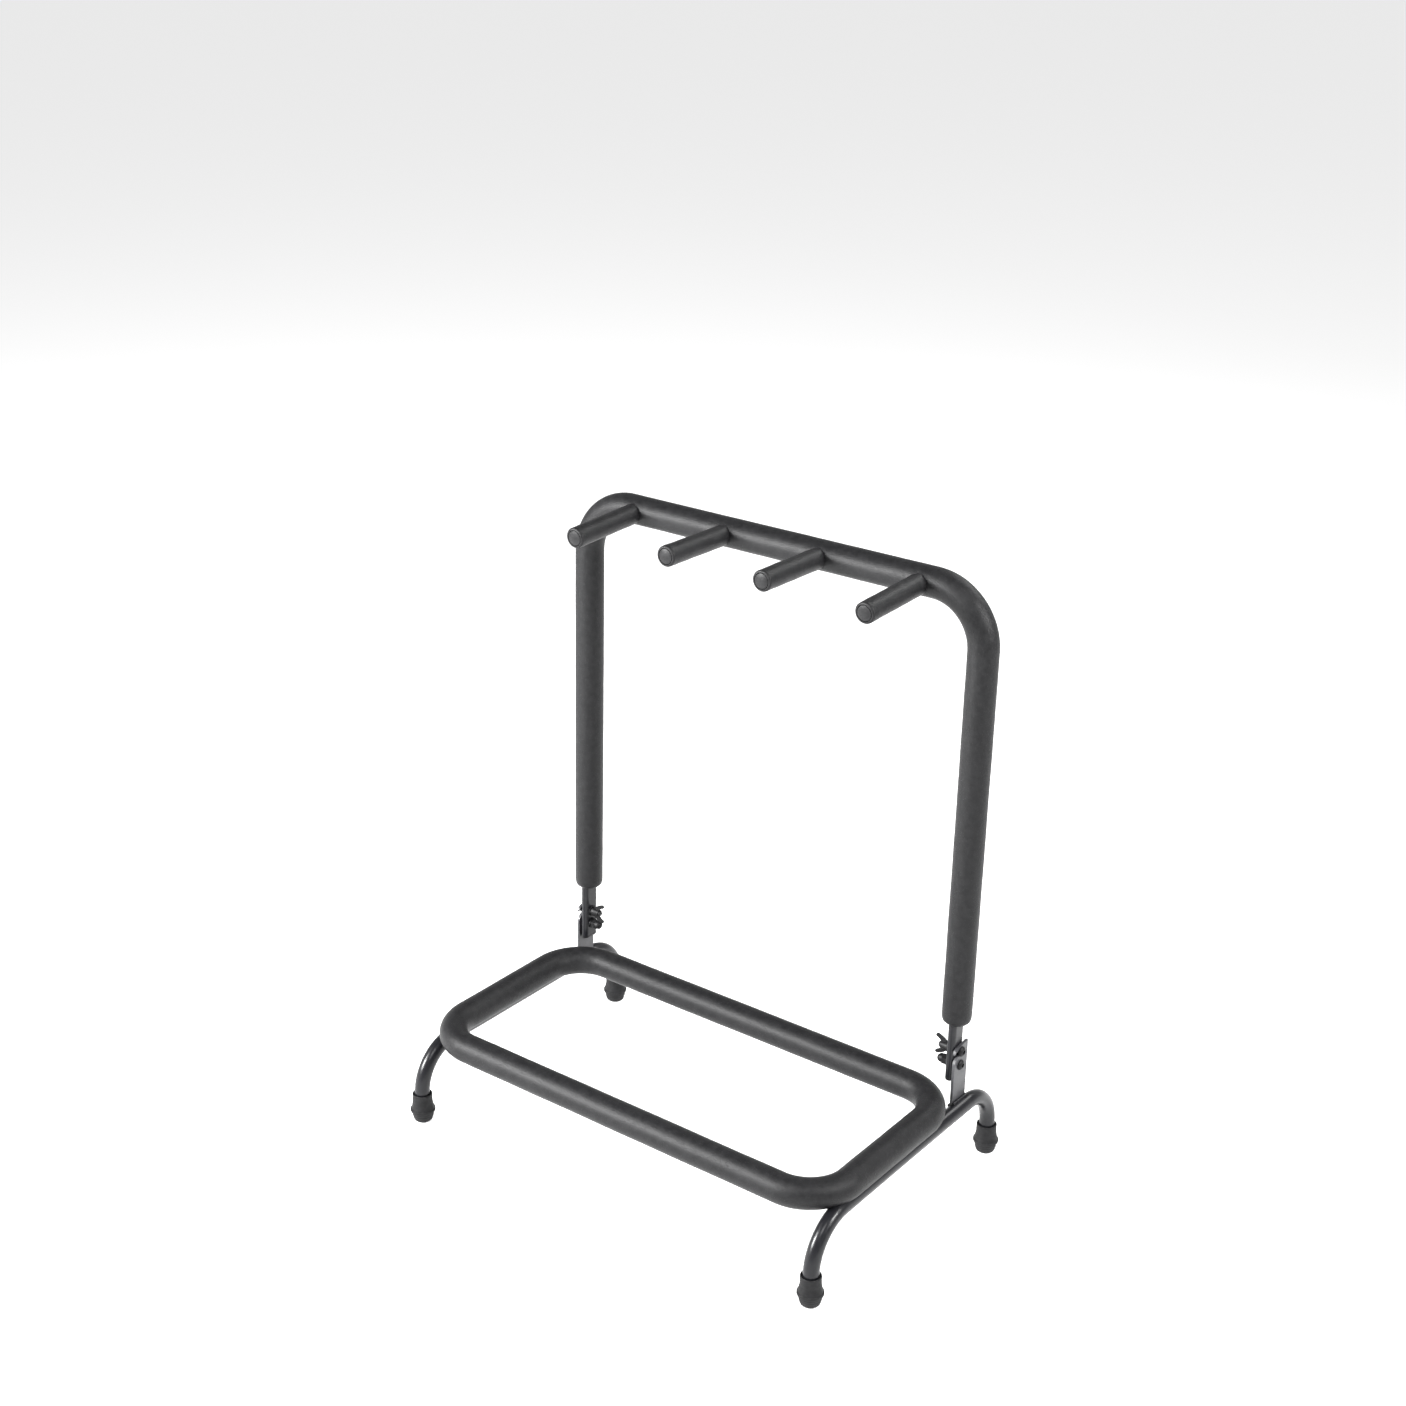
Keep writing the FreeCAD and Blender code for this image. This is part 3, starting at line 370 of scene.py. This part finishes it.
def addPiece(name, mesh, material=None):
    mesh.name = name
    made = bpy.data.objects.new(name, mesh)
    bpy.context.scene.collection.objects.link(made)
    if material is not None:
        mesh.materials.clear()
        mesh.materials.append(material)
    return made


def makeCurve(name, line, closed):
    data = bpy.data.curves.new(name, "CURVE")
    data.dimensions = "3D"
    spline = data.splines.new("POLY")
    spline.points.add(len(line) - 1)
    spline.points.foreach_set("co", [number for spot in line for number in (*spot, 1.0)])
    spline.use_cyclic_u = closed
    made = bpy.data.objects.new(name, data)
    bpy.context.scene.collection.objects.link(made)
    return made


def grow(name, tree, values, line, closed=False):
    # runs a tree on a path and keeps its result as a plain mesh
    path = makeCurve(f"{name}Path", line, closed)
    modifier = path.modifiers.new("grow", "NODES")
    modifier.node_group = tree
    for item in tree.interface.items_tree:
        if item.in_out == "INPUT" and item.name in values:
            modifier[item.identifier] = values[item.name]
    seen = path.evaluated_get(bpy.context.evaluated_depsgraph_get())
    mesh = bpy.data.meshes.new_from_object(seen)
    path.modifiers.clear()
    bpy.data.objects.remove(path)
    return addPiece(name, mesh)


def getPoints(mesh):
    found = np.empty(len(mesh.vertices) * 3)
    mesh.vertices.foreach_get("co", found)
    return found.reshape(-1, 3)


def setPoints(mesh, found):
    mesh.vertices.foreach_set("co", found.ravel())
    mesh.update()


def smoothStep(low, high, value):
    share = np.clip((value - low) / (high - low), 0, 1)
    return share * share * (3 - 2 * share)


def roundedPath(corners, radius, closed, step=math.radians(2)):
    # straight runs joined by arcs that turn a right angle
    path = []
    count = len(corners)
    turns = round(math.pi / 2 / step)
    for index, corner in enumerate(corners):
        if not closed and index in (0, count - 1):
            path.append(corner)
            continue
        inward = (corner - corners[index - 1]).normalized()
        onward = (corners[(index + 1) % count] - corner).normalized()
        centre = corner - inward * radius + onward * radius
        for number in range(turns + 1):
            angle = math.pi / 2 * number / turns
            path.append(centre - onward * radius * math.cos(angle)
                        + inward * radius * math.sin(angle))
    return path


def lathe(profile, sides):
    # (radius, height) pairs turned about Z, closed on the axis
    mesh = bmesh.new()
    rings = []
    for radius, height in profile:
        if radius == 0:
            rings.append([mesh.verts.new((0, 0, height))])
            continue
        rings.append([
            mesh.verts.new((radius * math.cos(turn), radius * math.sin(turn), height))
            for turn in (2 * math.pi * side / sides for side in range(sides))])
    for low, high in zip(rings, rings[1:]):
        for side in range(sides):
            after = (side + 1) % sides
            if len(low) == 1:
                mesh.faces.new((low[0], high[side], high[after]))
            elif len(high) == 1:
                mesh.faces.new((low[after], low[side], high[0]))
            else:
                mesh.faces.new((low[side], high[side], high[after], low[after]))
    bmesh.ops.recalc_face_normals(mesh, faces=mesh.faces)
    data = bpy.data.meshes.new("turned")
    mesh.to_mesh(data)
    mesh.free()
    return data


def arc(centre, radius, first, last, count):
    # (radius, height) points of a profile's arc, angles in degrees from outward
    angles = [math.radians(first + (last - first) * step / count) for step in range(count + 1)]
    return [(centre[0] + radius * math.cos(angle), centre[1] + radius * math.sin(angle))
            for angle in angles]


def shadeSmooth(piece, angle=None):
    piece.data.polygons.foreach_set("use_smooth", [True] * len(piece.data.polygons))
    if angle is not None:
        piece.data.set_sharp_from_angle(angle=math.radians(angle))


sleeveTree = makeSleeveTree()
beadTree = makeBeadTree()


def growSleeve(name, sleeve, radius, line, closed=False):
    return grow(name, sleeveTree, {
        "Radius": radius, "End Share": sleeve["endShare"], "Taper": sleeve["taper"],
        "Spacing": sleeve["spacing"], "Sides": sleeve["sides"], "Waver": sleeve["waver"],
        "Waver Size": sleeve["waverSize"], "Seed": sleeve["seed"], "Finish": foam}, line, closed)


# creases across the inside of a bend: inner and outer are shares of its radius that they
# fade in between, puff is how far the foam swells between them
crease = {"gap": 0.0052, "gapVary": (0.75, 1.3), "width": 0.0011, "depth": 0.00055,
          "depthVary": (0.45, 1.0), "puff": 0.00022, "inner": 0.35, "outer": 0.85}


def creaseBends(mesh, centres, bendRadius, flat, wide, seed):
    # flat and wide are the two axes of the plane that the bends lie in
    found = getPoints(mesh)
    random = np.random.default_rng(seed)
    for centre, facing in centres:
        offset = found - np.array(centre)
        across = offset @ np.array(flat)
        up = offset @ np.array(wide)
        reach = np.hypot(across, up)
        turn = np.arctan2(up * facing[1], across * facing[0])
        inBend = (turn > 0) & (turn < math.pi / 2) & (reach < bendRadius)
        fade = 1 - smoothStep(crease["inner"], crease["outer"], reach / bendRadius)
        inside = np.where(inBend, fade, 0)
        inside *= np.sin(np.clip(turn, 0, math.pi / 2) * 2) ** 0.5
        arcLength = turn * bendRadius
        pattern = np.zeros(len(found))
        place = crease["gap"] * 0.5
        while place < bendRadius * math.pi / 2:
            strength = random.uniform(*crease["depthVary"])
            pattern += strength * np.exp(-((arcLength - place) / crease["width"]) ** 2)
            place += crease["gap"] * random.uniform(*crease["gapVary"])
        shift = inside * (pattern * crease["depth"] - crease["puff"])
        # towards the tube's own centreline, so away from the bend's centre
        safe = np.maximum(reach, tiny)
        for axis, part in ((flat, across), (wide, up)):
            found += np.outer(shift * part / safe, np.array(axis))
    setPoints(mesh, found)


legBends = {"front": 0.048, "rear": 0.044}


def legPath(side):
    # the leg tube's centreline, from its box: level along the top, bent down at each end
    low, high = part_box(f"{side}_leg_tube")
    radius = (high.x - low.x) / 2
    middle = (low.x + high.x) / 2
    return radius, middle, low.y + radius, high.y - radius, high.z - radius


def distanceToLeg(found, side):
    # how far each point is from the leg's centreline, the way out from it, and its radius
    radius, x, front, rear, height = legPath(side)
    nearest = np.column_stack([
        np.full(len(found), x),
        np.clip(found[:, 1], front + legBends["front"], rear - legBends["rear"]),
        np.full(len(found), height)])
    for end, bend, sign in ((front, legBends["front"], -1), (rear, legBends["rear"], 1)):
        centreY = end - sign * bend
        centreZ = height - bend
        beyond = (found[:, 1] - centreY) * sign
        turn = np.arctan2(beyond, np.maximum(found[:, 2] - centreZ, tiny))
        past = beyond > 0
        nearest[past, 1] = (centreY + sign * bend * np.sin(turn))[past]
        nearest[past, 2] = (centreZ + bend * np.cos(turn))[past]
    away = found - nearest
    return np.linalg.norm(away, axis=1), away, radius


# a closed loop has no ends, so its sleeve keeps its full radius all round
baseLoop = {"cornerRadius": 0.047, "spacing": 0.0021, "sides": 80, "waver": 0.0007,
            "waverSize": 0.045, "seed": 3.0, "taper": 0.001, "endShare": 1.0,
            "creaseSeed": 11, "legGap": 0.0004}


def makeLoopSleeve():
    low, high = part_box("base_loop_foam")
    tubeLow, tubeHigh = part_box("base_loop_tube")
    radius = (tubeHigh.z - tubeLow.z) / 2 + (high.z - tubeHigh.z)
    bend = baseLoop["cornerRadius"]
    height = high.z - radius
    left, right = low.x + radius, high.x - radius
    front, rear = low.y + radius, high.y - radius
    corners = [Vector((x, y, height)) for x, y in (
        (left, front), (right, front), (right, rear), (left, rear))]
    piece = growSleeve("loopFoamSleeve", baseLoop, radius, roundedPath(corners, bend, True), True)
    centres = [((x - signX * bend, y - signY * bend, height), (signX, signY))
               for signX, x in ((-1, left), (1, right))
               for signY, y in ((-1, front), (1, rear))]
    creaseBends(piece.data, centres, bend, (1, 0, 0), (0, 1, 0), baseLoop["creaseSeed"])
    # the leg tubes press a groove along the underside
    found = getPoints(piece.data)
    for side in sides:
        distance, away, legRadius = distanceToLeg(found, side)
        short = np.maximum(legRadius + baseLoop["legGap"] - distance, 0)
        found += away / np.maximum(distance, tiny)[:, None] * short[:, None]
    setPoints(piece.data, found)
    shadeSmooth(piece)
    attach(piece, "base")
    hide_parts("base_loop_foam")


makeLoopSleeve()
print("base loop sleeve made")

# tubeRadius is the steel tube's own radius, inside the foam
frameSleeve = {"tubeRadius": 0.008, "spacing": 0.0021, "sides": 72, "waver": 0.0007,
               "waverSize": 0.05, "seed": 8.0, "taper": 0.0085, "endShare": 0.773,
               "creaseSeed": 23, "sharpAngle": 50}


def measureBar():
    # the bar foam's outer radius, and the bar's height above the pivot line
    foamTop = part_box("back_frame_foam")[1].z
    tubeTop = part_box("back_frame_tube")[1].z
    foamRadius = frameSleeve["tubeRadius"] + (foamTop - tubeTop)
    return foamRadius, (foamTop - pivot.z - foamRadius) / math.cos(lean)


barFoam, barHeight = measureBar()


def makeFrameSleeve():
    low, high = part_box("back_frame_foam")
    half = high.x - barFoam
    start = (low.z - pivot.z) / math.cos(lean)
    bend = backFrame["cornerRadius"]
    corners = [Vector((half, 0, start)), Vector((half, 0, barHeight)),
               Vector((-half, 0, barHeight)), Vector((-half, 0, start))]
    piece = growSleeve("frameFoamSleeve", frameSleeve, barFoam, roundedPath(corners, bend, False))
    centres = [((sign * (half - bend), 0, barHeight - bend), (sign, 1)) for sign in (-1, 1)]
    creaseBends(piece.data, centres, bend, (1, 0, 0), (0, 0, 1), frameSleeve["creaseSeed"])
    piece.data.transform(leanBack)
    shadeSmooth(piece, frameSleeve["sharpAngle"])
    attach(piece, "back_frame")
    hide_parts("back_frame_foam")


makeFrameSleeve()
print("back frame sleeve made")

# reach is from the bar's centreline to the peg's end, and droop is in degrees
peg = {"reach": 0.103, "radius": 0.0105, "capRadius": 0.0081, "capDepth": 0.004, "capLip": 0.0008,
       "rim": 0.0003, "rimSteps": 8, "sides": 72, "rings": 56, "sharpAngle": 50,
       "rootGap": 0.0001, "tuck": 0.0005, "tuckLength": 0.0035, "seed": 40,
       "ripples": 5, "rippleDepth": 0.00022, "rippleLength": (0.014, 0.05), "rippleTurn": 6.28}
pegDroop = {1: 3.0, 2: 0.0, 3: 0.0, 4: 3.0}


def makePegSleeve(number):
    # a sleeve from the bar's foam to a rounded rim round the end cap
    rounding = peg["radius"] - peg["capRadius"] - peg["rim"]
    end = peg["reach"] - rounding
    wall = [(peg["radius"], ring * end / peg["rings"]) for ring in range(peg["rings"])]
    rim = arc((peg["radius"] - rounding, end), rounding, 0, 90, peg["rimSteps"])
    capSeat = peg["reach"] - peg["capDepth"]
    inside = [(peg["capRadius"], peg["reach"]), (peg["capRadius"], peg["reach"] - peg["capLip"]),
              (peg["capRadius"], capSeat), (0, capSeat)]
    mesh = lathe([(0, 0)] + wall + rim + inside, peg["sides"])
    found = getPoints(mesh)
    # the root is cut to the round of the bar's foam and tucks in where they meet
    start = np.sqrt(np.maximum((barFoam + peg["rootGap"]) ** 2 - found[:, 1] ** 2, 0))
    onWall = found[:, 2] < end - tiny
    share = found[:, 2] / end
    found[:, 2] = np.where(onWall, start + (end - start) * share, found[:, 2])
    root = np.where(onWall, 1 - smoothStep(0, peg["tuckLength"], found[:, 2] - start), 0)
    outward = np.hypot(found[:, 0], found[:, 1])
    around = np.arctan2(found[:, 1], found[:, 0])
    random = np.random.default_rng(peg["seed"] + number)
    ripple = np.zeros(len(found))
    for _ in range(peg["ripples"]):
        length = random.uniform(*peg["rippleLength"])
        phase = random.uniform(0, peg["rippleTurn"])
        lobes = random.integers(0, 3)
        ripple += np.sin(found[:, 2] / length * peg["rippleTurn"] + phase + lobes * around)
    rippled = np.where(onWall, ripple / peg["ripples"] * peg["rippleDepth"], 0)
    change = -peg["tuck"] * root + rippled
    scale = np.where(outward > tiny, (outward + change) / np.maximum(outward, tiny), 1)
    found[:, :2] *= scale[:, None]
    setPoints(mesh, found)
    low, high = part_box(f"peg_foam_{number}")
    middle = Matrix.Translation(((low.x + high.x) / 2, 0, barHeight))
    forward = Matrix.Rotation(math.radians(90 + pegDroop[number]), 4, "X")
    mesh.transform(leanBack @ middle @ forward)
    piece = addPiece(f"pegFoamSleeve{number}", mesh, foam)
    shadeSmooth(piece, peg["sharpAngle"])
    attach(piece, "back_frame")
    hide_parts(f"peg_foam_{number}")


for number in pegDroop:
    makePegSleeve(number)
print("peg sleeves made")

# outline: how far in from the widest ring, and the height, from the sole up to the lip
# recess: how far out from the leg, and how far down from the lip's top
foot = {
    "outline": ((0.0060, 0), (0.0048, 0.0003), (0.0035, 0.0015), (0.0028, 0.0034),
                (0.0018, 0.0082), (0.0014, 0.0106), (0.0012, 0.0112), (0.0002, 0.0116),
                (0, 0.0120), (0, 0.0138), (0.0002, 0.0142), (0.0009, 0.0146),
                (0.0017, 0.0178), (0.0025, 0.0220), (0.0027, 0.0270)),
    "lipRound": 0.0007, "lipTop": 0.0008, "lipSteps": 5,
    "recess": ((0.0012, 0), (0.0007, 0.0013), (0.00005, 0.0014)), "seat": 0.0065,
    "rings": 2, "ringTop": 0.0092, "ringGap": 0.00288, "ringWidth": 0.00045,
    "ringDepth": 0.00022, "ringedFrom": 0.6, "sides": 96, "spacing": 0.0004, "sharpAngle": 40,
}


def makeFoot(name):
    # moulded foot: rounded toe, raised ring, waist, and a lip with a recess round the leg
    low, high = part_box(name)
    outer = (high.x - low.x) / 2
    tall = high.z - low.z
    legLow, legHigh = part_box(f"{name.split('_')[1]}_leg_tube")
    leg = (legHigh.x - legLow.x) / 2
    keys = [(0, 0)] + [(outer - inset, height) for inset, height in foot["outline"]]
    lip = keys[-1][0]
    keys.append((lip, tall - foot["lipTop"]))
    profile = []
    for (firstR, firstZ), (lastR, lastZ) in zip(keys, keys[1:]):
        steps = max(1, int(math.hypot(lastR - firstR, lastZ - firstZ) / foot["spacing"]))
        for step in range(steps):
            share = step / steps
            profile.append((firstR + (lastR - firstR) * share, firstZ + (lastZ - firstZ) * share))
    # fine raised lines below the ring
    places = [foot["ringTop"] - ring * foot["ringGap"] for ring in range(foot["rings"])]
    lined = []
    for radius, height in profile:
        if radius > outer * foot["ringedFrom"]:
            radius += sum(math.exp(-((height - place) / foot["ringWidth"]) ** 2)
                          * foot["ringDepth"] for place in places)
        lined.append((radius, height))
    lipRound = foot["lipRound"]
    lined += arc((lip - lipRound, tall - lipRound), lipRound, 0, 90, foot["lipSteps"])
    lined += [(leg + gap, tall - depth) for gap, depth in foot["recess"]]
    lined += [(lined[-1][0], foot["seat"]), (0, foot["seat"])]
    mesh = lathe(lined, foot["sides"])
    mesh.transform(Matrix.Translation(((low.x + high.x) / 2, (low.y + high.y) / 2, low.z)))
    piece = addPiece(f"{name}Rubber", mesh, rubber)
    shadeSmooth(piece, foot["sharpAngle"])
    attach(piece, "base")
    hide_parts(name)


for name in ("front_left_foot", "front_right_foot", "rear_left_foot", "rear_right_foot"):
    makeFoot(name)
print("feet made")

# widths of the eased edges, and the angles in degrees from which an edge is eased or flat
edges = {"plate": 0.0004, "fastener": 0.00022, "plug": 0.0003, "segments": 3, "angle": 32,
         "flatAngle": 0.5, "merge": 1e-6}


def softened(node, material, body, width):
    # a copy of a CAD piece with its hard edges eased, so that they catch the light
    mesh = nodes[node].data.copy()
    work = bmesh.new()
    work.from_mesh(mesh)
    bmesh.ops.remove_doubles(work, verts=work.verts, dist=edges["merge"])
    bmesh.ops.dissolve_limit(work, angle_limit=math.radians(edges["flatAngle"]),
                             verts=work.verts, edges=work.edges)
    bmesh.ops.recalc_face_normals(work, faces=work.faces)
    work.to_mesh(mesh)
    work.free()
    if "custom_normal" in mesh.attributes:
        mesh.attributes.remove(mesh.attributes["custom_normal"])
    piece = addPiece(f"{node}Eased", mesh, material)
    shadeSmooth(piece, edges["angle"])
    bevel = piece.modifiers.new("ease", "BEVEL")
    bevel.width = width
    bevel.segments = edges["segments"]
    bevel.limit_method = "ANGLE"
    bevel.angle_limit = math.radians(edges["angle"])
    bevel.harden_normals = True
    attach(piece, body)
    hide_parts(node)


for side in sides:
    softened(f"{side}_pivot_plate", platePaint, "base", edges["plate"])
    for kind, body in (("pivot_bolt", "base"), ("pivot_washer", "base"), ("dome_nut", "base"),
                       ("lock_bolt", "back_frame"), ("lock_washer", "back_frame"),
                       ("wing_nut", f"{side}_wing_nut")):
        softened(f"{side}_{kind}", blackOxide, body, edges["fastener"])
    softened(f"{side}_tube_plug", capPlastic, "back_frame", edges["plug"])
for number in pegDroop:
    softened(f"peg_end_cap_{number}", capPlastic, "back_frame", edges["plug"])
print("plates and fasteners eased")

# standOff is from the plate's face, inset from its front and rear edges
plateBead = {"radius": 0.0019, "pitch": 0.0012, "lengthShare": 0.62, "jitter": 0.10, "seed": 5,
             "sink": 0.0004, "standOff": 0.0008, "inset": 0.0008}


def makePlateBeads():
    # the welds along both faces of each plate's foot
    pieces = []
    for side, sign in sides.items():
        low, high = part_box(f"{side}_pivot_plate")
        legRadius, legX, _, _, legHeight = legPath(side)
        inner, outer = (low.x, high.x) if sign > 0 else (high.x, low.x)
        for face, x, away in (("inner", inner, -sign), ("outer", outer, sign)):
            beadX = x + away * plateBead["standOff"]
            z = legHeight + math.sqrt(legRadius ** 2 - (beadX - legX) ** 2) + plateBead["sink"]
            line = [Vector((beadX, y, z))
                    for y in (low.y + plateBead["inset"], high.y - plateBead["inset"])]
            pieces.append(grow(f"{side}{face}Bead", beadTree, {
                "Radius": plateBead["radius"], "Pitch": plateBead["pitch"],
                "Length Share": plateBead["lengthShare"], "Jitter": plateBead["jitter"],
                "Seed": plateBead["seed"] + len(pieces), "Finish": paint}, line))
    joined = bmesh.new()
    for piece in pieces:
        joined.from_mesh(piece.data)
        bpy.data.objects.remove(piece)
    mesh = bpy.data.meshes.new("plateWelds")
    joined.to_mesh(mesh)
    joined.free()
    made = addPiece("plateWelds", mesh, paint)
    shadeSmooth(made)
    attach(made, "base")
    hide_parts("plate_weld_beads")


makePlateBeads()
print("plate welds made")

# these keep their CAD shape and only take a finish
carriedOver = {
    "left_leg_tube": paint, "right_leg_tube": paint, "back_frame_tube": paint,
    "base_loop_tube": paint, "loop_weld_beads": paint, "peg_weld_beads": paint,
    **{f"peg_rod_{number}": paint for number in pegDroop},
}
for name, material in carriedOver.items():
    nodes[name].data.materials.clear()
    nodes[name].data.materials.append(material)
print("frame painted")

stage = {"floor": 160.0, "floorLight": (0.70, 0.70, 0.70), "floorDark": (0.693, 0.693, 0.693),
         "mottle": 0.4, "rough": 0.85, "relief": 0.00001, "glow": 0.60,
         "horizon": (0.80, 0.80, 0.80), "zenith": (0.24, 0.24, 0.24), "skyFade": (0.05, 0.6)}


def makeStage():
    finish = Finish("paleFloor")
    cloud = finish.noise(stage["mottle"])
    colour = finish.blend(cloud, stage["floorLight"], stage["floorDark"])
    fixed = {"Specular IOR Level": 0.0, "Emission Color": (1.0, 1.0, 1.0, 1.0),
             "Emission Strength": stage["glow"]}
    material = finish.close(fixed, colour, stage["rough"] + cloud * 0.05, cloud, stage["relief"])
    half = stage["floor"] / 2
    mesh = bpy.data.meshes.new("floor")
    mesh.from_pydata([(-half, -half, 0), (half, -half, 0), (half, half, 0), (-half, half, 0)], [],
                     [(0, 1, 2, 3)])
    addPiece("floor", mesh, material)
    world = bpy.data.worlds.new("paleRoom")
    bpy.context.scene.world = world
    world.use_nodes = True
    # bright round the horizon and dimmer overhead
    tree = world.node_tree
    fadeLow, fadeHigh = stage["skyFade"]
    direction = geoNode(tree, "ShaderNodeTexCoord", None, None, "Generated")
    height = geoNode(tree, "ShaderNodeSeparateXYZ", None, {"Vector": direction}, "Z")
    share = geoNode(tree, "ShaderNodeMapRange", {"interpolation_type": "SMOOTHSTEP"},
                    {"Value": height, "From Min": fadeLow, "From Max": fadeHigh})
    colour = geoNode(tree, "ShaderNodeMix", {"data_type": "RGBA"},
                     {0: share, 6: (*stage["horizon"], 1), 7: (*stage["zenith"], 1)}, 2)
    tree.links.new(colour, tree.nodes["Background"].inputs["Color"])


def wayOut(azimuth, elevation):
    # a direction from the rack, in degrees round from its front and up from the floor
    turn, rise = math.radians(azimuth), math.radians(elevation)
    return Vector((math.sin(turn) * math.cos(rise), -math.cos(turn) * math.cos(rise),
                   math.sin(rise)))


lamps = {
    "key": {"azimuth": -36, "elevation": 23, "away": 2.4, "size": 0.75, "power": 190},
    "side": {"azimuth": 98, "elevation": 34, "away": 2.3, "size": 0.7, "power": 64},
    "front": {"azimuth": 30, "elevation": 50, "away": 2.4, "size": 0.8, "power": 22},
    "back": {"azimuth": 165, "elevation": 42, "away": 2.4, "size": 0.9, "power": 24},
}
lampTarget = (0, 0, 0.3)


def makeLights():
    target = Vector(lampTarget)
    for name, lamp in lamps.items():
        data = bpy.data.lights.new(name, "AREA")
        data.shape = "SQUARE"
        data.size = lamp["size"]
        data.energy = lamp["power"]
        made = bpy.data.objects.new(name, data)
        made.location = target + wayOut(lamp["azimuth"], lamp["elevation"]) * lamp["away"]
        made.rotation_euler = (target - made.location).to_track_quat("-Z", "Y").to_euler()
        bpy.context.scene.collection.objects.link(made)


camera = {"azimuth": 37.02, "elevation": 22.47, "roll": 0.69, "place": (1.1508, -1.5327, 1.2768),
          "lens": 55.7, "sensor": 36.0}


def makeCamera():
    data = bpy.data.cameras.new("camera")
    data.lens = camera["lens"]
    data.sensor_width = camera["sensor"]
    made = bpy.data.objects.new("camera", data)
    back = wayOut(camera["azimuth"], camera["elevation"])
    facing = (-back).to_track_quat("-Z", "Y").to_matrix().to_4x4()
    roll = Matrix.Rotation(math.radians(camera["roll"]), 4, "Z")
    made.matrix_world = Matrix.Translation(camera["place"]) @ facing @ roll
    bpy.context.scene.collection.objects.link(made)
    bpy.context.scene.camera = made


makeStage()
makeLights()
makeCamera()
bpy.context.scene.view_settings.view_transform = "Standard"
print("stage, lights and camera set")
